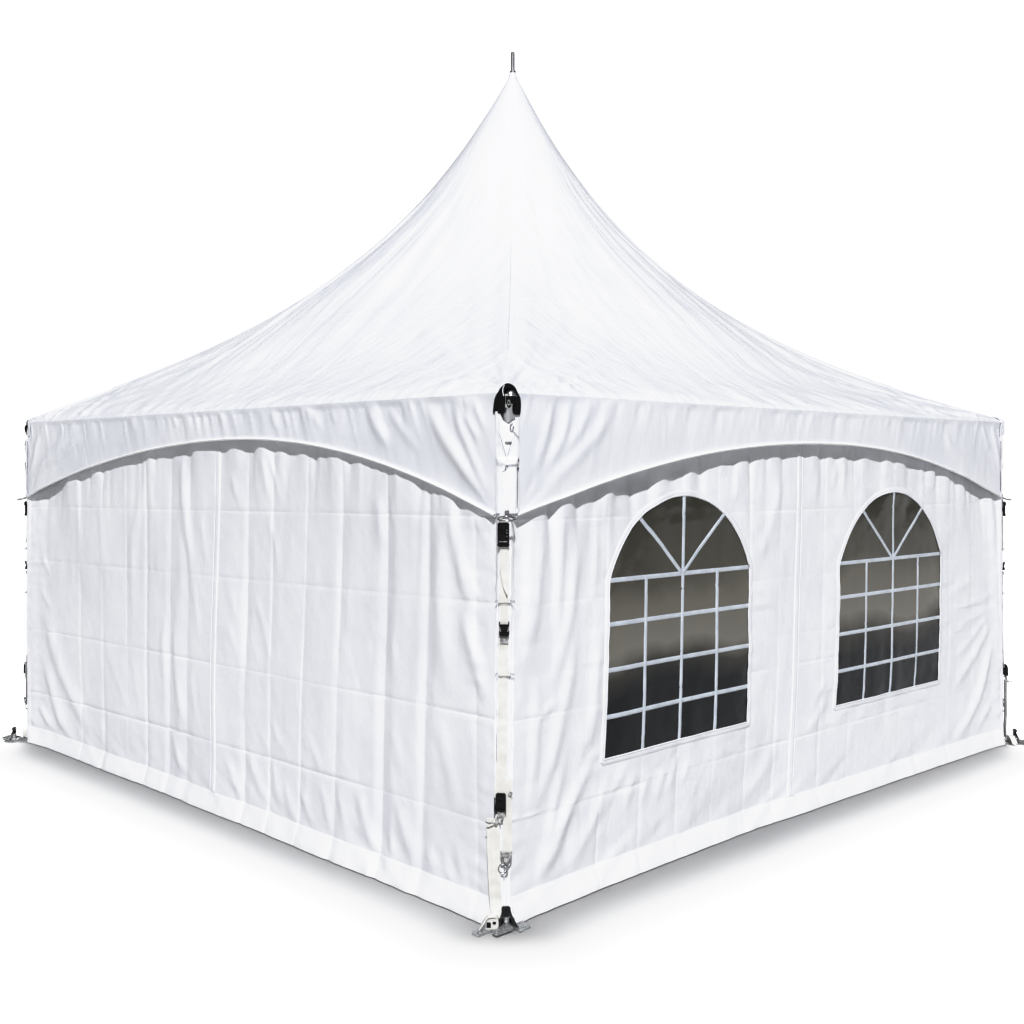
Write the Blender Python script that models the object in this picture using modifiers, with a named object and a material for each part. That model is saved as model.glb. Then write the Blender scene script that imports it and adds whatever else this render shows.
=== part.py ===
"""Marquee tent: a square frame tent with one high peak, arched valances and laced side walls.

Metres, +Z up. The origin is on the ground under the mast. The front, with two windows, faces -Y,
and the plain left side faces -X. The back repeats the front and the right side repeats the left.
"""

import math

import bmesh
import bpy
from mathutils import Matrix, Vector

# Plan and heights of the whole tent
HALF = 2.286            # half the side of the roof, which is 15 ft square
HIP = HALF * math.sqrt(2)
EAVE = 2.107            # bottom edge of the roof cloth
SPIRE_TOP = 4.560
SEAT = 0.0003           # play left between pieces that touch
FABRIC = 0.005          # thickness of the sheets, stouter than real vinyl

# Roof cloth: the hip falls steeply from the peak and flattens to the eave
SHOULDER = 2.125
HIP_SLOPE = 0.25
HIP_SWEEP = 1.55
HIP_CURL = 0.92
EDGE_ROLL = SHOULDER - EAVE
ROLL_LENGTH = 0.03
ROOF_DROP = 0.008       # thickness of the roof cloth, measured straight down
HIP_DRIFT = 0.185       # the cloth hangs a little towards the back left corner
TIGHT_ABOVE = 0.06      # above this level the cloth is a plain cone, with no drift
CONE_ABOVE = 0.18       # from here up it closes to that cone
ROUND_SHARE = 0.70      # how round it is below, where 0 is square and 1 is round
ROUND_ABOVE = 0.30      # it starts to turn square here
SQUARE_BELOW = 0.90     # and is square from here to the eave
SPIRE_HOLE = 0.0145
MAST_SEAT = 0.0247
ROOF_LEVELS = [SPIRE_HOLE / HIP, MAST_SEAT / HIP, 0.03, 0.06, 0.10, 0.15, 0.20, 0.26, 0.33, 0.41,
               0.50, 0.60, 0.70, 0.80, 0.88, 0.94, 0.975, 1.0]
GORE_STEPS = 8

# Frame of round tube
TUBE = 0.025            # radius of a leg
BEAM = 0.024            # radius of an eave beam and of the mast
LEG_AT = 2.25           # both coordinates of a leg's axis
BEAM_Z = 2.075
HEAD_HALF = 0.030       # corner block that joins a leg and two beams
HEAD_LOW = 2.045
HEAD_TOP = EAVE - ROOF_DROP
ROUND_SIDES = 24

# Cross cables and the mast that stands on their crossing
CABLE = 0.004
CABLE_LOW = 2.000
CABLE_STEP = 0.012
CABLE_END_Z = 2.065
FOOT_CUP = 0.045
CUP_LOW = 1.985
CUP_FLOOR = 2.025
CUP_TOP = 2.060

# Valances, arched along their lower edge, and the boots that cap the open corners
VALANCE_END = 2.236
VALANCE_CORNER_Z = 1.612
ARCH_RISE = 0.331
ARCH_POWER = 2.1
BOOT_REACH = 0.079
BOOT_THICK = 0.0037
BOOT_LOW = 2.010
BOOT_SLOT = 0.040
BOOT_SLOT_TOP = 2.050

# Side walls, two panels a side, a little splayed at the foot
WALL_END = 2.205
WALL_FOOT_OUT = 0.050
HEM_Z = 0.012
SEAM_AT = {"front": -0.10, "left": 0.07, "back": -0.10, "right": 0.07}
WINDOW_FROM_SEAM = 0.985
WINDOW_WIDE = 1.11
WINDOW_LOW = 0.525
WINDOW_SPRING = 1.300
WINDOW_ARCH = 0.370

# Jack foot with its ground plate, and the strap that holds the leg down
PLATE = 0.008
SLEEVE = 0.033
SLEEVE_TOP = 0.090
GUSSET_REACH = 0.050
GUSSET_THICK = 0.006
STRAP_WIDE = 0.038
STRAP_THICK = 0.003

SIDES = ["front", "left", "back", "right"]
CORNERS = ["front_left", "back_left", "back_right", "front_right"]

for old in list(bpy.data.objects):
    bpy.data.objects.remove(old, do_unlink=True)

parts = bpy.data.collections.new("marquee_tent")
cutters = bpy.data.collections.new("cutters")
for group in (parts, cutters):
    bpy.context.scene.collection.children.link(group)


# Materials

def principled(name, colour, roughness, metallic=0.0, see_through=0.0):
    """One Principled material, its colour in linear values."""
    material = bpy.data.materials.new(name)
    material.use_nodes = True
    shader = material.node_tree.nodes["Principled BSDF"]
    shader.inputs["Base Color"].default_value = (*colour, 1.0)
    shader.inputs["Roughness"].default_value = roughness
    shader.inputs["Metallic"].default_value = metallic
    shader.inputs["Transmission Weight"].default_value = see_through
    return material


ROOF_VINYL = principled("roof_vinyl", (0.82, 0.83, 0.88), 0.42)
WALL_VINYL = principled("wall_vinyl", (0.84, 0.85, 0.88), 0.45)
WINDOW_VINYL = principled("window_vinyl", (0.30, 0.31, 0.30), 0.12, see_through=0.6)
WHITE_TUBE = principled("white_tube", (0.80, 0.80, 0.79), 0.35)
BRIGHT_TUBE = principled("bright_tube", (0.70, 0.70, 0.71), 0.30, metallic=0.9)
BLACK_RUBBER = principled("black_rubber", (0.010, 0.010, 0.012), 0.55)
FOOT_STEEL = principled("foot_steel", (0.30, 0.31, 0.32), 0.50, metallic=0.8)
WEBBING = principled("webbing", (0.72, 0.71, 0.67), 0.80)
WIRE_ROPE = principled("wire_rope", (0.45, 0.45, 0.46), 0.40, metallic=0.9)


# Small tools

def turn(steps):
    """Quarter turns about the mast, from the front to the left, the back and the right."""
    return Matrix.Rotation(-steps * math.pi / 2, 4, "Z")


def add(obj, name, material, group=None):
    """Name an object, give it its material and keep it in one collection."""
    for owner in list(obj.users_collection):
        owner.objects.unlink(obj)
    (group or parts).objects.link(obj)
    obj.name = name
    obj.data.name = name
    if material is not None:
        obj.data.materials.clear()
        obj.data.materials.append(material)
    if group is cutters:
        obj.hide_render = True
        obj.display_type = "WIRE"
    return obj


def mesh_object(bm, name, material, matrix=None, group=None):
    """Turn a bmesh into an object."""
    mesh = bpy.data.meshes.new(name)
    bmesh.ops.recalc_face_normals(bm, faces=bm.faces)
    bm.to_mesh(mesh)
    bm.free()
    obj = bpy.data.objects.new(name, mesh)
    obj.matrix_world = matrix or Matrix()
    return add(obj, name, material, group)


def box(name, low, high, material=None, matrix=None, group=None):
    """A box between two corners."""
    bm = bmesh.new()
    bmesh.ops.create_cube(bm, size=1.0)
    size = [b - a for a, b in zip(low, high)]
    middle = Vector([(a + b) / 2 for a, b in zip(low, high)])
    bmesh.ops.scale(bm, vec=size, verts=bm.verts)
    bmesh.ops.translate(bm, vec=middle, verts=bm.verts)
    return mesh_object(bm, name, material, matrix, group)


def rod(name, radius, start, end, material=None, matrix=None, group=None, sides=ROUND_SIDES):
    """A straight round bar between two points."""
    start, end = Vector(start), Vector(end)
    bm = bmesh.new()
    bmesh.ops.create_cone(bm, cap_ends=True, segments=sides, radius1=radius, radius2=radius,
                          depth=(end - start).length)
    aim = (end - start).to_track_quat("Z", "Y").to_matrix().to_4x4()
    bmesh.ops.transform(bm, matrix=Matrix.Translation((start + end) / 2) @ aim, verts=bm.verts)
    obj = mesh_object(bm, name, material, matrix, group)
    obj.data.shade_smooth()
    obj.data.set_sharp_from_angle(angle=math.radians(35))
    return obj


def sheet(name, outlines, thickness, material=None, matrix=None, group=None):
    """A flat plate from closed outlines in its own XY plane, holes among them, as a 2D curve."""
    curve = bpy.data.curves.new(name, "CURVE")
    curve.dimensions = "2D"
    curve.fill_mode = "BOTH"
    curve.extrude = thickness / 2
    for outline in outlines:
        spline = curve.splines.new("POLY")
        spline.points.add(len(outline) - 1)
        spline.use_cyclic_u = True
        for point, (x, y) in zip(spline.points, outline):
            point.co = (x, y, 0.0, 1.0)
    obj = bpy.data.objects.new(name, curve)
    obj.matrix_world = matrix or Matrix()
    return add(obj, name, material, group)


def solid_from(obj):
    """Make a curve object a welded mesh, so that Booleans can use it."""
    bpy.context.view_layer.update()
    seen = obj.evaluated_get(bpy.context.evaluated_depsgraph_get())
    mesh = bpy.data.meshes.new_from_object(seen)
    bm = bmesh.new()
    bm.from_mesh(mesh)
    bmesh.ops.remove_doubles(bm, verts=bm.verts, dist=0.00001)
    bm.to_mesh(mesh)
    bm.free()
    name = obj.name
    group = obj.users_collection[0]
    place = obj.matrix_world.copy()
    bpy.data.objects.remove(obj, do_unlink=True)
    solid = bpy.data.objects.new(name, mesh)
    solid.matrix_world = place
    return add(solid, name, None, group)


def combine(obj, other, operation):
    """Join another solid to an object, or cut it away."""
    step = obj.modifiers.new(operation.lower(), "BOOLEAN")
    step.operation = operation
    step.object = other
    step.solver = "EXACT"


# Upright planes: X stays, the outline's Y becomes height, and the sheet's normal points to -Y

def upright(y):
    """A frame for an outline that stands across the front at this y."""
    return Matrix.Translation((0.0, y, 0.0)) @ Matrix.Rotation(math.pi / 2, 4, "X")


# Roof cloth, in four gores sewn along the hips

def hip_height(level):
    """Height of the cloth at a level, which is 0 at the axis and 1 at the eave."""
    r = level * HIP
    sweep = math.exp(-r / HIP_CURL) - math.exp(-HIP / HIP_CURL)
    roll = EDGE_ROLL * math.exp((r - HIP) / ROLL_LENGTH)
    return SHOULDER + HIP_SLOPE * (HIP - r) + HIP_SWEEP * sweep - roll


def share(level, start, end):
    """How far a level has come from one level to another, from 0 to 1."""
    return min(1.0, max(0.0, (level - start) / (end - start)))


def roundness(level):
    """The cloth's section, which is round at the peak and turns square towards the eave."""
    step = share(level, SQUARE_BELOW, ROUND_ABOVE)
    cone = share(level, CONE_ABOVE, TIGHT_ABOVE)
    return ROUND_SHARE * step * step * (3 - 2 * step) + (1 - ROUND_SHARE) * cone


def roof_point(level, angle):
    """A point of the cloth: the angle is 0 towards the front and grows towards the right."""
    spread = (angle + math.pi / 4) % (math.pi / 2) - math.pi / 4
    round_part = roundness(level)
    radius = level * ((1 - round_part) * HALF / math.cos(spread) + round_part * HIP)
    slack = min(1.0, level / TIGHT_ABOVE)
    out = Vector((math.sin(angle), -math.cos(angle), 0.0))
    lean = Vector((-1.0, 1.0, 0.0)).normalized()
    drift = slack * HIP_DRIFT * level * (1 - level ** 3) * out.dot(lean) ** 2
    return out * radius + lean * drift + Vector((0.0, 0.0, hip_height(level)))


def make_gore(side, index):
    """One face of the roof, extruded straight down so that the gores meet at the hips."""
    middle = -index * math.pi / 2
    out = Vector((math.sin(middle), -math.cos(middle), 0.0)) * SEAT
    bm = bmesh.new()
    rows = []
    for level in ROOF_LEVELS:
        row = []
        for step in range(GORE_STEPS + 1):
            angle = middle + (step / GORE_STEPS - 0.5) * math.pi / 2
            row.append(bm.verts.new(roof_point(level, angle) + out))
        rows.append(row)
    for upper, lower in zip(rows, rows[1:]):
        for step in range(GORE_STEPS):
            bm.faces.new((upper[step], lower[step], lower[step + 1], upper[step + 1]))
    skin = bmesh.ops.extrude_face_region(bm, geom=bm.faces[:])
    under = [item for item in skin["geom"] if isinstance(item, bmesh.types.BMVert)]
    bmesh.ops.translate(bm, vec=(0.0, 0.0, -ROOF_DROP), verts=under)
    gore = mesh_object(bm, "roof_" + side, ROOF_VINYL)
    gore.data.shade_smooth()
    gore.data.set_sharp_from_angle(angle=math.radians(40))


for index, side in enumerate(SIDES):
    make_gore(side, index)


# Valances, sewn under the roof's edge, and their arch

def arch_height(x):
    """Lower edge of a valance."""
    return VALANCE_CORNER_Z + ARCH_RISE * (1 - (abs(x) / VALANCE_END) ** ARCH_POWER)


for index, side in enumerate(SIDES):
    top = EAVE - ROOF_DROP - SEAT
    columns = [VALANCE_END * step / 12 for step in range(-12, 13)]
    outline = [(x, arch_height(x)) for x in columns]
    outline += [(VALANCE_END, top), (-VALANCE_END, top)]
    sheet("valance_" + side, [outline], FABRIC, ROOF_VINYL, turn(index) @ upright(-HALF + FABRIC / 2))


# Side walls, hung under the eave beams, and their clear windows

WALL_TOP = BEAM_Z - BEAM - SEAT
WALL_LEAN = math.atan2(WALL_FOOT_OUT, WALL_TOP - HEM_Z)
WALL_HIGH = math.hypot(WALL_FOOT_OUT, WALL_TOP - HEM_Z) - FABRIC * math.sin(WALL_LEAN)


def wall_plane(index):
    """A wall's own frame: X along the wall and Y down from its top edge as a negative length."""
    hang = Matrix.Translation((0.0, -LEG_AT, WALL_TOP - FABRIC / 2 * math.sin(WALL_LEAN)))
    return turn(index) @ hang @ Matrix.Rotation(math.pi / 2 - WALL_LEAN, 4, "X")


def window_outline(middle, play):
    """An arch-topped window, drawn smaller all round by the play."""
    half = WINDOW_WIDE / 2 - play
    rise = WINDOW_ARCH - play
    radius = (half ** 2 + rise ** 2) / (2 * rise)
    low = WINDOW_LOW - WALL_TOP + play
    spring = WINDOW_SPRING - WALL_TOP
    centre = spring + rise - radius
    swing = math.asin(half / radius)
    points = [(middle - half, low), (middle + half, low)]
    for step in range(13):
        angle = swing - 2 * swing * step / 12
        points.append((middle + radius * math.sin(angle), centre + radius * math.cos(angle)))
    return points


for index, side in enumerate(SIDES):
    seam = SEAM_AT[side]
    ends = {"front": ("left", "right"), "left": ("back", "front"),
            "back": ("right", "left"), "right": ("front", "back")}[side]
    spans = [(-WALL_END, seam - SEAT / 2), (seam + SEAT / 2, WALL_END)]
    for end, (low, high), hand in zip(ends, spans, (-1, 1)):
        outline = [(low, -WALL_HIGH), (high, -WALL_HIGH), (high, 0.0), (low, 0.0)]
        outlines = [outline]
        if side in ("front", "back"):
            middle = seam + hand * WINDOW_FROM_SEAM
            outlines.append(window_outline(middle, 0.0))
            sheet(f"window_{side}_{end}", [window_outline(middle, SEAT)], FABRIC, WINDOW_VINYL,
                  wall_plane(index))
        sheet(f"wall_{side}_{end}", outlines, FABRIC, WALL_VINYL, wall_plane(index))


# Legs with their corner blocks, and the eave beams between them

for index, corner in enumerate(CORNERS):
    axis = (-LEG_AT, -LEG_AT)
    leg = rod("leg_" + corner, TUBE, (*axis, PLATE + SEAT), (*axis, HEAD_LOW + 0.02), WHITE_TUBE,
              turn(index))
    head = box("head_" + corner, (-LEG_AT - HEAD_HALF, -LEG_AT - HEAD_HALF, HEAD_LOW),
               (-LEG_AT + HEAD_HALF, -LEG_AT + HEAD_HALF, HEAD_TOP), None, turn(index), cutters)
    combine(leg, head, "UNION")

for index, side in enumerate(SIDES):
    reach = LEG_AT - HEAD_HALF - SEAT
    rod("eave_beam_" + side, BEAM, (-reach, -LEG_AT, BEAM_Z), (reach, -LEG_AT, BEAM_Z), BRIGHT_TUBE,
        turn(index))


# Black boots over the open corners of the valance

for index, corner in enumerate(CORNERS):
    skin = HALF + 2 * SEAT
    out = skin + BOOT_THICK
    inner = out - BOOT_REACH
    outline = [(-out, -out), (-inner, -out), (-inner, -skin), (-skin, -skin), (-skin, -inner),
               (-out, -inner)]
    place = turn(index) @ Matrix.Translation((0.0, 0.0, (BOOT_LOW + EAVE) / 2))
    boot = solid_from(sheet("corner_boot_" + corner, [outline], EAVE - BOOT_LOW, BLACK_RUBBER, place))
    diagonal = Matrix.Rotation(math.pi / 4, 4, "Z")
    slot = box("slot_" + corner, (-HIP - 0.05, -BOOT_SLOT / 2, BOOT_LOW - 0.05),
               (-HIP + 0.05, BOOT_SLOT / 2, BOOT_SLOT_TOP), None, turn(index) @ diagonal, cutters)
    combine(boot, slot, "DIFFERENCE")


# Jack feet on their ground plates, with three tongues for stakes

PLATE_OUTLINE = [(0.050, 0.090), (-0.145, 0.090), (-0.150, 0.005), (-0.060, 0.000),
                 (-0.060, -0.030), (-0.165, -0.060), (-0.165, -0.125), (-0.070, -0.115),
                 (-0.065, -0.152), (0.030, -0.145), (0.050, -0.020)]

for index, corner in enumerate(CORNERS):
    centre = turn(index) @ Matrix.Translation((-LEG_AT, -LEG_AT, 0.0))
    lift = Matrix.Translation((0.0, 0.0, PLATE / 2))
    foot = solid_from(sheet("base_foot_" + corner, [PLATE_OUTLINE], PLATE, FOOT_STEEL, centre @ lift))
    sleeve = rod("sleeve_" + corner, SLEEVE, (0, 0, PLATE / 2), (0, 0, SLEEVE_TOP), None, centre,
                 cutters)
    combine(foot, sleeve, "UNION")
    gusset = [(-GUSSET_REACH, PLATE / 2), (GUSSET_REACH, PLATE / 2), (SLEEVE, SLEEVE_TOP - 0.01),
              (-SLEEVE, SLEEVE_TOP - 0.01)]
    for name, angle in (("across", math.pi / 4), ("along", -math.pi / 4)):
        stand = centre @ Matrix.Rotation(angle, 4, "Z") @ upright(0.0)
        fin = solid_from(sheet(f"gusset_{name}_{corner}", [gusset], GUSSET_THICK, None, stand, cutters))
        combine(foot, fin, "UNION")
    bore = rod("bore_" + corner, TUBE + SEAT, (0, 0, PLATE), (0, 0, SLEEVE_TOP + 0.02), None, centre,
               cutters)
    combine(foot, bore, "DIFFERENCE")


# Webbing straps that tie the roof's corners down, each with its buckles and ratchet

def corner_frame(index):
    """A corner's own frame at its leg: X to the right as seen from outside, -Y outward."""
    return turn(index) @ Matrix.Translation((-LEG_AT, -LEG_AT, 0.0)) @ Matrix.Rotation(-math.pi / 4, 4, "Z")


STRAP_OUT = TUBE + SEAT + STRAP_THICK / 2
STRAP_ROUTE = [(-0.018, -STRAP_OUT, 1.612), (-0.018, -STRAP_OUT, 0.500), (-0.045, -0.040, 0.420),
               (-0.085, -0.036, PLATE + SEAT)]
BUCKLES = [((-0.040, -0.044, 1.494), (0.004, -STRAP_OUT, 1.587)),
           ((-0.030, -0.042, 1.108), (0.010, -STRAP_OUT, 1.176)),
           ((-0.058, -0.064, 0.420), (-0.006, -STRAP_OUT - 0.001, 0.505)),
           ((-0.090, -0.058, 0.380), (-0.040, -0.036, 0.425))]

for index, corner in enumerate(CORNERS):
    bm = bmesh.new()
    rings = []
    for x, y, z in STRAP_ROUTE:
        rings.append([bm.verts.new((x + dx * STRAP_WIDE / 2, y + dy * STRAP_THICK / 2, z))
                      for dx, dy in ((-1, -1), (1, -1), (1, 1), (-1, 1))])
    for upper, lower in zip(rings, rings[1:]):
        for step in range(4):
            after = (step + 1) % 4
            bm.faces.new((upper[step], upper[after], lower[after], lower[step]))
    bm.faces.new(rings[0])
    bm.faces.new(rings[-1])
    strap = mesh_object(bm, "tie_strap_" + corner, WEBBING, corner_frame(index))
    for number, (low, high) in enumerate(BUCKLES):
        block = box(f"buckle_{corner}_{number}", low, high, None, corner_frame(index), cutters)
        combine(strap, block, "UNION")


# Mast on the crossing of two cables, and the spire above the cloth

MAST_TOP = hip_height(MAST_SEAT / HIP) - ROOF_DROP
rod("mast", BEAM, (0, 0, CUP_FLOOR + SEAT), (0, 0, MAST_TOP), BRIGHT_TUBE)

mast_foot = rod("mast_foot", FOOT_CUP, (0, 0, CUP_LOW), (0, 0, CUP_TOP), FOOT_STEEL)
socket = rod("mast_socket", BEAM + SEAT, (0, 0, CUP_FLOOR), (0, 0, CUP_TOP + 0.02), None, None, cutters)
combine(mast_foot, socket, "DIFFERENCE")

for number, name in enumerate(("a", "b")):
    height = CABLE_LOW + number * CABLE_STEP
    along = Vector((1.0, 1.0, 0.0)).normalized() if name == "a" else Vector((-1.0, 1.0, 0.0)).normalized()
    up = Vector((0.0, 0.0, 1.0))
    end = math.sqrt(2) * (LEG_AT - HEAD_HALF) - 0.006
    lift = Vector((0.0, 0.0, height))
    bore = rod("cable_bore_" + name, CABLE + SEAT, lift - along * 0.08, lift + along * 0.08, None, None,
               cutters, sides=12)
    combine(mast_foot, bore, "DIFFERENCE")
    curve = bpy.data.curves.new("cross_cable_" + name, "CURVE")
    curve.dimensions = "3D"
    curve.bevel_depth = CABLE
    curve.bevel_resolution = 2
    curve.use_fill_caps = True
    spline = curve.splines.new("POLY")
    route = [-along * end + up * CABLE_END_Z, lift - along * 0.06, lift + along * 0.06,
             along * end + up * CABLE_END_Z]
    spline.points.add(len(route) - 1)
    for point, place in zip(spline.points, route):
        point.co = (*place, 1.0)
    add(bpy.data.objects.new("cross_cable_" + name, curve), "cross_cable_" + name, WIRE_ROPE)

profile = [(0.0, SPIRE_TOP), (0.007, SPIRE_TOP - 0.002), (0.0125, SPIRE_TOP - 0.010),
           (0.0125, 4.432), (0.020, 4.430), (0.020, 4.418), (0.0125, 4.416), (0.0125, MAST_TOP + SEAT),
           (0.0, MAST_TOP + SEAT)]
bm = bmesh.new()
points = [bm.verts.new((x, 0.0, z)) for x, z in profile]
for upper, lower in zip(points, points[1:]):
    bm.edges.new((upper, lower))
spire_mesh = bpy.data.meshes.new("spire")
bm.to_mesh(spire_mesh)
bm.free()
spire = add(bpy.data.objects.new("spire", spire_mesh), "spire", WHITE_TUBE)
screw = spire.modifiers.new("turn", "SCREW")
screw.steps = ROUND_SIDES
screw.render_steps = ROUND_SIDES
screw.use_merge_vertices = True
screw.merge_threshold = 0.0001
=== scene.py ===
"""How a white peaked marquee looks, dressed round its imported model.

Metres, +Z up, the mast on the Z axis and the ground at zero. The front, with two windows, faces -Y.
"""

import math

import bmesh
import bpy
import numpy as np
from mathutils import Matrix, Vector


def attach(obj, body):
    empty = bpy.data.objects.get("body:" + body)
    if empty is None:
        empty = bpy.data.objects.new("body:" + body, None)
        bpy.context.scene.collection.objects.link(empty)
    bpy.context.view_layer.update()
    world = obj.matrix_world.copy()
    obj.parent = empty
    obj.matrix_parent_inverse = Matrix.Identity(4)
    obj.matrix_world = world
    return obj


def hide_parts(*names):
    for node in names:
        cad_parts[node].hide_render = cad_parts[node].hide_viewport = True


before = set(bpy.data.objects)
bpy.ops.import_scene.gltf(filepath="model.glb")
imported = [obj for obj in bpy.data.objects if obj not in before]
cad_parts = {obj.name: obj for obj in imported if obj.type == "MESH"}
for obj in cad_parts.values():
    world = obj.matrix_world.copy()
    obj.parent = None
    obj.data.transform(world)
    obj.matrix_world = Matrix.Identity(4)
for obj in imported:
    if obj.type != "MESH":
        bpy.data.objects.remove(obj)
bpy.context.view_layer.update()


# Frame of tube: aluminium eave beams and mast, a steel cup under the mast and two wire ropes
# that cross below it. The beams plug into cast corners, and the mast stands on the crossing.

SIDES = ["front", "left", "back", "right"]
CORNERS = ["front_left", "back_left", "back_right", "front_right"]


def node(material, kind, **settings):
    """One more node, with the settings of its own."""
    made = material.node_tree.nodes.new(kind)
    for key, value in settings.items():
        setattr(made, key, value)
    return made


def shader_of(material):
    """The node that holds a material's colour, roughness and relief."""
    return material.node_tree.nodes["Principled BSDF"]


def place(material, stretch=(1.0, 1.0, 1.0), turn=0.0, flat=False):
    """Where on the piece, or on its cloth laid flat, a pattern is read, stretched along some axis."""
    where = node(material, "ShaderNodeTexCoord")
    turned = node(material, "ShaderNodeMapping")
    turned.inputs["Rotation"].default_value[2] = math.radians(turn)
    stretched = node(material, "ShaderNodeMapping")
    stretched.inputs["Scale"].default_value = stretch
    material.node_tree.links.new(where.outputs["UV" if flat else "Object"], turned.inputs["Vector"])
    material.node_tree.links.new(turned.outputs["Vector"], stretched.inputs["Vector"])
    return stretched.outputs["Vector"]


def speckle(material, scale, detail=4.0, stretch=(1.0, 1.0, 1.0), kind="FBM", turn=0.0, flat=False):
    """Noise over the piece, as a pattern from 0 to 1."""
    noise = node(material, "ShaderNodeTexNoise", noise_type=kind)
    noise.inputs["Scale"].default_value = scale
    noise.inputs["Detail"].default_value = detail
    material.node_tree.links.new(place(material, stretch, turn, flat), noise.inputs["Vector"])
    return noise.outputs["Fac"]


def stripes(material, period, direction):
    """Fine ribs that repeat with a period in one direction."""
    dot = node(material, "ShaderNodeVectorMath", operation="DOT_PRODUCT")
    dot.inputs[1].default_value = [part * 2 * math.pi / period for part in direction]
    wave = node(material, "ShaderNodeMath", operation="SINE")
    links = material.node_tree.links
    links.new(place(material), dot.inputs[0])
    links.new(dot.outputs["Value"], wave.inputs[0])
    return wave.outputs["Value"]


def shades(material, pattern, dark, light, low=0.35, high=0.65):
    """Colour the piece between two shades by a pattern."""
    ramp = node(material, "ShaderNodeValToRGB")
    for stop, position, colour in zip(ramp.color_ramp.elements, (low, high), (dark, light)):
        stop.position = position
        stop.color = (*colour, 1.0)
    material.node_tree.links.new(pattern, ramp.inputs["Fac"])
    material.node_tree.links.new(ramp.outputs["Color"], shader_of(material).inputs["Base Color"])


def sheen_spread(material, pattern, low, high):
    """Vary the roughness by a pattern."""
    spread = node(material, "ShaderNodeMapRange")
    spread.inputs["To Min"].default_value = low
    spread.inputs["To Max"].default_value = high
    material.node_tree.links.new(pattern, spread.inputs["Value"])
    material.node_tree.links.new(spread.outputs["Result"], shader_of(material).inputs["Roughness"])


def relief(material, pattern, distance, strength=1.0):
    """Raise the surface by a pattern, on top of the relief that is there."""
    raised = node(material, "ShaderNodeBump")
    raised.inputs["Distance"].default_value = distance
    raised.inputs["Strength"].default_value = strength
    normal = shader_of(material).inputs["Normal"]
    links = material.node_tree.links
    links.new(pattern, raised.inputs["Height"])
    if normal.is_linked:
        links.new(normal.links[0].from_socket, raised.inputs["Normal"])
    links.new(raised.outputs["Normal"], normal)


def finish(name, colour, roughness, metallic=0.0, coat=0.0, specular=0.5, tones=None, sheen=None, grain=None):
    """A material. tones, sheen and grain each give the scale of a noise and how far it goes."""
    material = bpy.data.materials.new(name)
    material.use_nodes = True
    values = {"Base Color": (*colour, 1.0), "Roughness": roughness, "Metallic": metallic,
              "Coat Weight": coat, "Specular IOR Level": specular}
    for key, value in values.items():
        shader_of(material).inputs[key].default_value = value
    if tones:
        shades(material, speckle(material, tones[0]), *tones[1:])
    if sheen:
        sheen_spread(material, speckle(material, sheen[0]), *sheen[1:])
    if grain:
        relief(material, speckle(material, grain[0]), *grain[1:])
    return material


def hold(piece, slot, *nodes):
    """A piece rides on the tent and may stand for CAD nodes. The slot is not used."""
    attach(piece, "root")
    if nodes:
        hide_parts(*nodes)
    return piece


def paint(name, material):
    """Give a CAD node that stays in sight its material."""
    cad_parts[name].material_slots[0].material = material


ALUMINIUM = finish("drawn_aluminium", (0.62, 0.63, 0.65), 0.34, metallic=1.0, sheen=(40.0, 0.25, 0.45),
                   tones=(9.0, (0.52, 0.53, 0.55), (0.68, 0.69, 0.71)), grain=(260.0, 0.0002))

GALVANISED = finish("galvanised_steel", (0.6, 0.61, 0.62), 0.45, metallic=0.6,
                    sheen=(55.0, 0.32, 0.62), grain=(240.0, 0.0004))
spangle = node(GALVANISED, "ShaderNodeTexVoronoi")
spangle.inputs["Scale"].default_value = 110.0
GALVANISED.node_tree.links.new(place(GALVANISED), spangle.inputs["Vector"])
shades(GALVANISED, spangle.outputs["Color"], (0.36, 0.37, 0.38), (0.64, 0.65, 0.66), 0.1, 0.9)

WIRE = finish("wire_rope", (0.38, 0.38, 0.39), 0.42, metallic=0.9)
lay = stripes(WIRE, 0.006, (1.0, 0.4, 0.8))
# the grooves between the strands are darker: painted shade, on the same stripes as the relief
shades(WIRE, lay, (0.1, 0.1, 0.11), (0.5, 0.5, 0.52))
relief(WIRE, lay, 0.001)

for side in SIDES:
    paint("eave_beam_" + side, ALUMINIUM)
paint("mast", ALUMINIUM)
paint("mast_foot", GALVANISED)
paint("cross_cable_a", WIRE)
paint("cross_cable_b", WIRE)


# Roof: one cloth of coated white polyester, welded from eight triangles with a seam down each
# hip and each face, and a cross seam a metre above the eave. It is pulled tight from the peak.

HALF = 2.286            # half a side
HIP = HALF * math.sqrt(2)
EAVE = 2.107
SHOULDER = 2.125        # where the slope would end without its turned edge
HIP_SLOPE = 0.25
HIP_SWEEP = 1.55        # how far the peak is drawn up over the slope
HIP_CURL = 0.92
EDGE_ROLL = SHOULDER - EAVE
ROLL_LENGTH = 0.03
HIP_DRIFT = 0.185       # the sag of the cloth to one side of the peak
TIGHT_ABOVE = 0.06      # levels, 0 at the axis and 1 at the eave, between which the cloth changes form
CONE_ABOVE = 0.18
ROUND_SHARE = 0.7
ROUND_ABOVE = 0.3
SQUARE_BELOW = 0.9
SPIRE_HOLE = 0.0145
ROOF_ROWS = 150
FACE_COLUMNS = 160      # across one of the four faces
CORNER_CUT = 0.036      # the open corner, where the leg's head shows
CROSS_SEAM = 1.03       # up the slope from the eave

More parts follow.
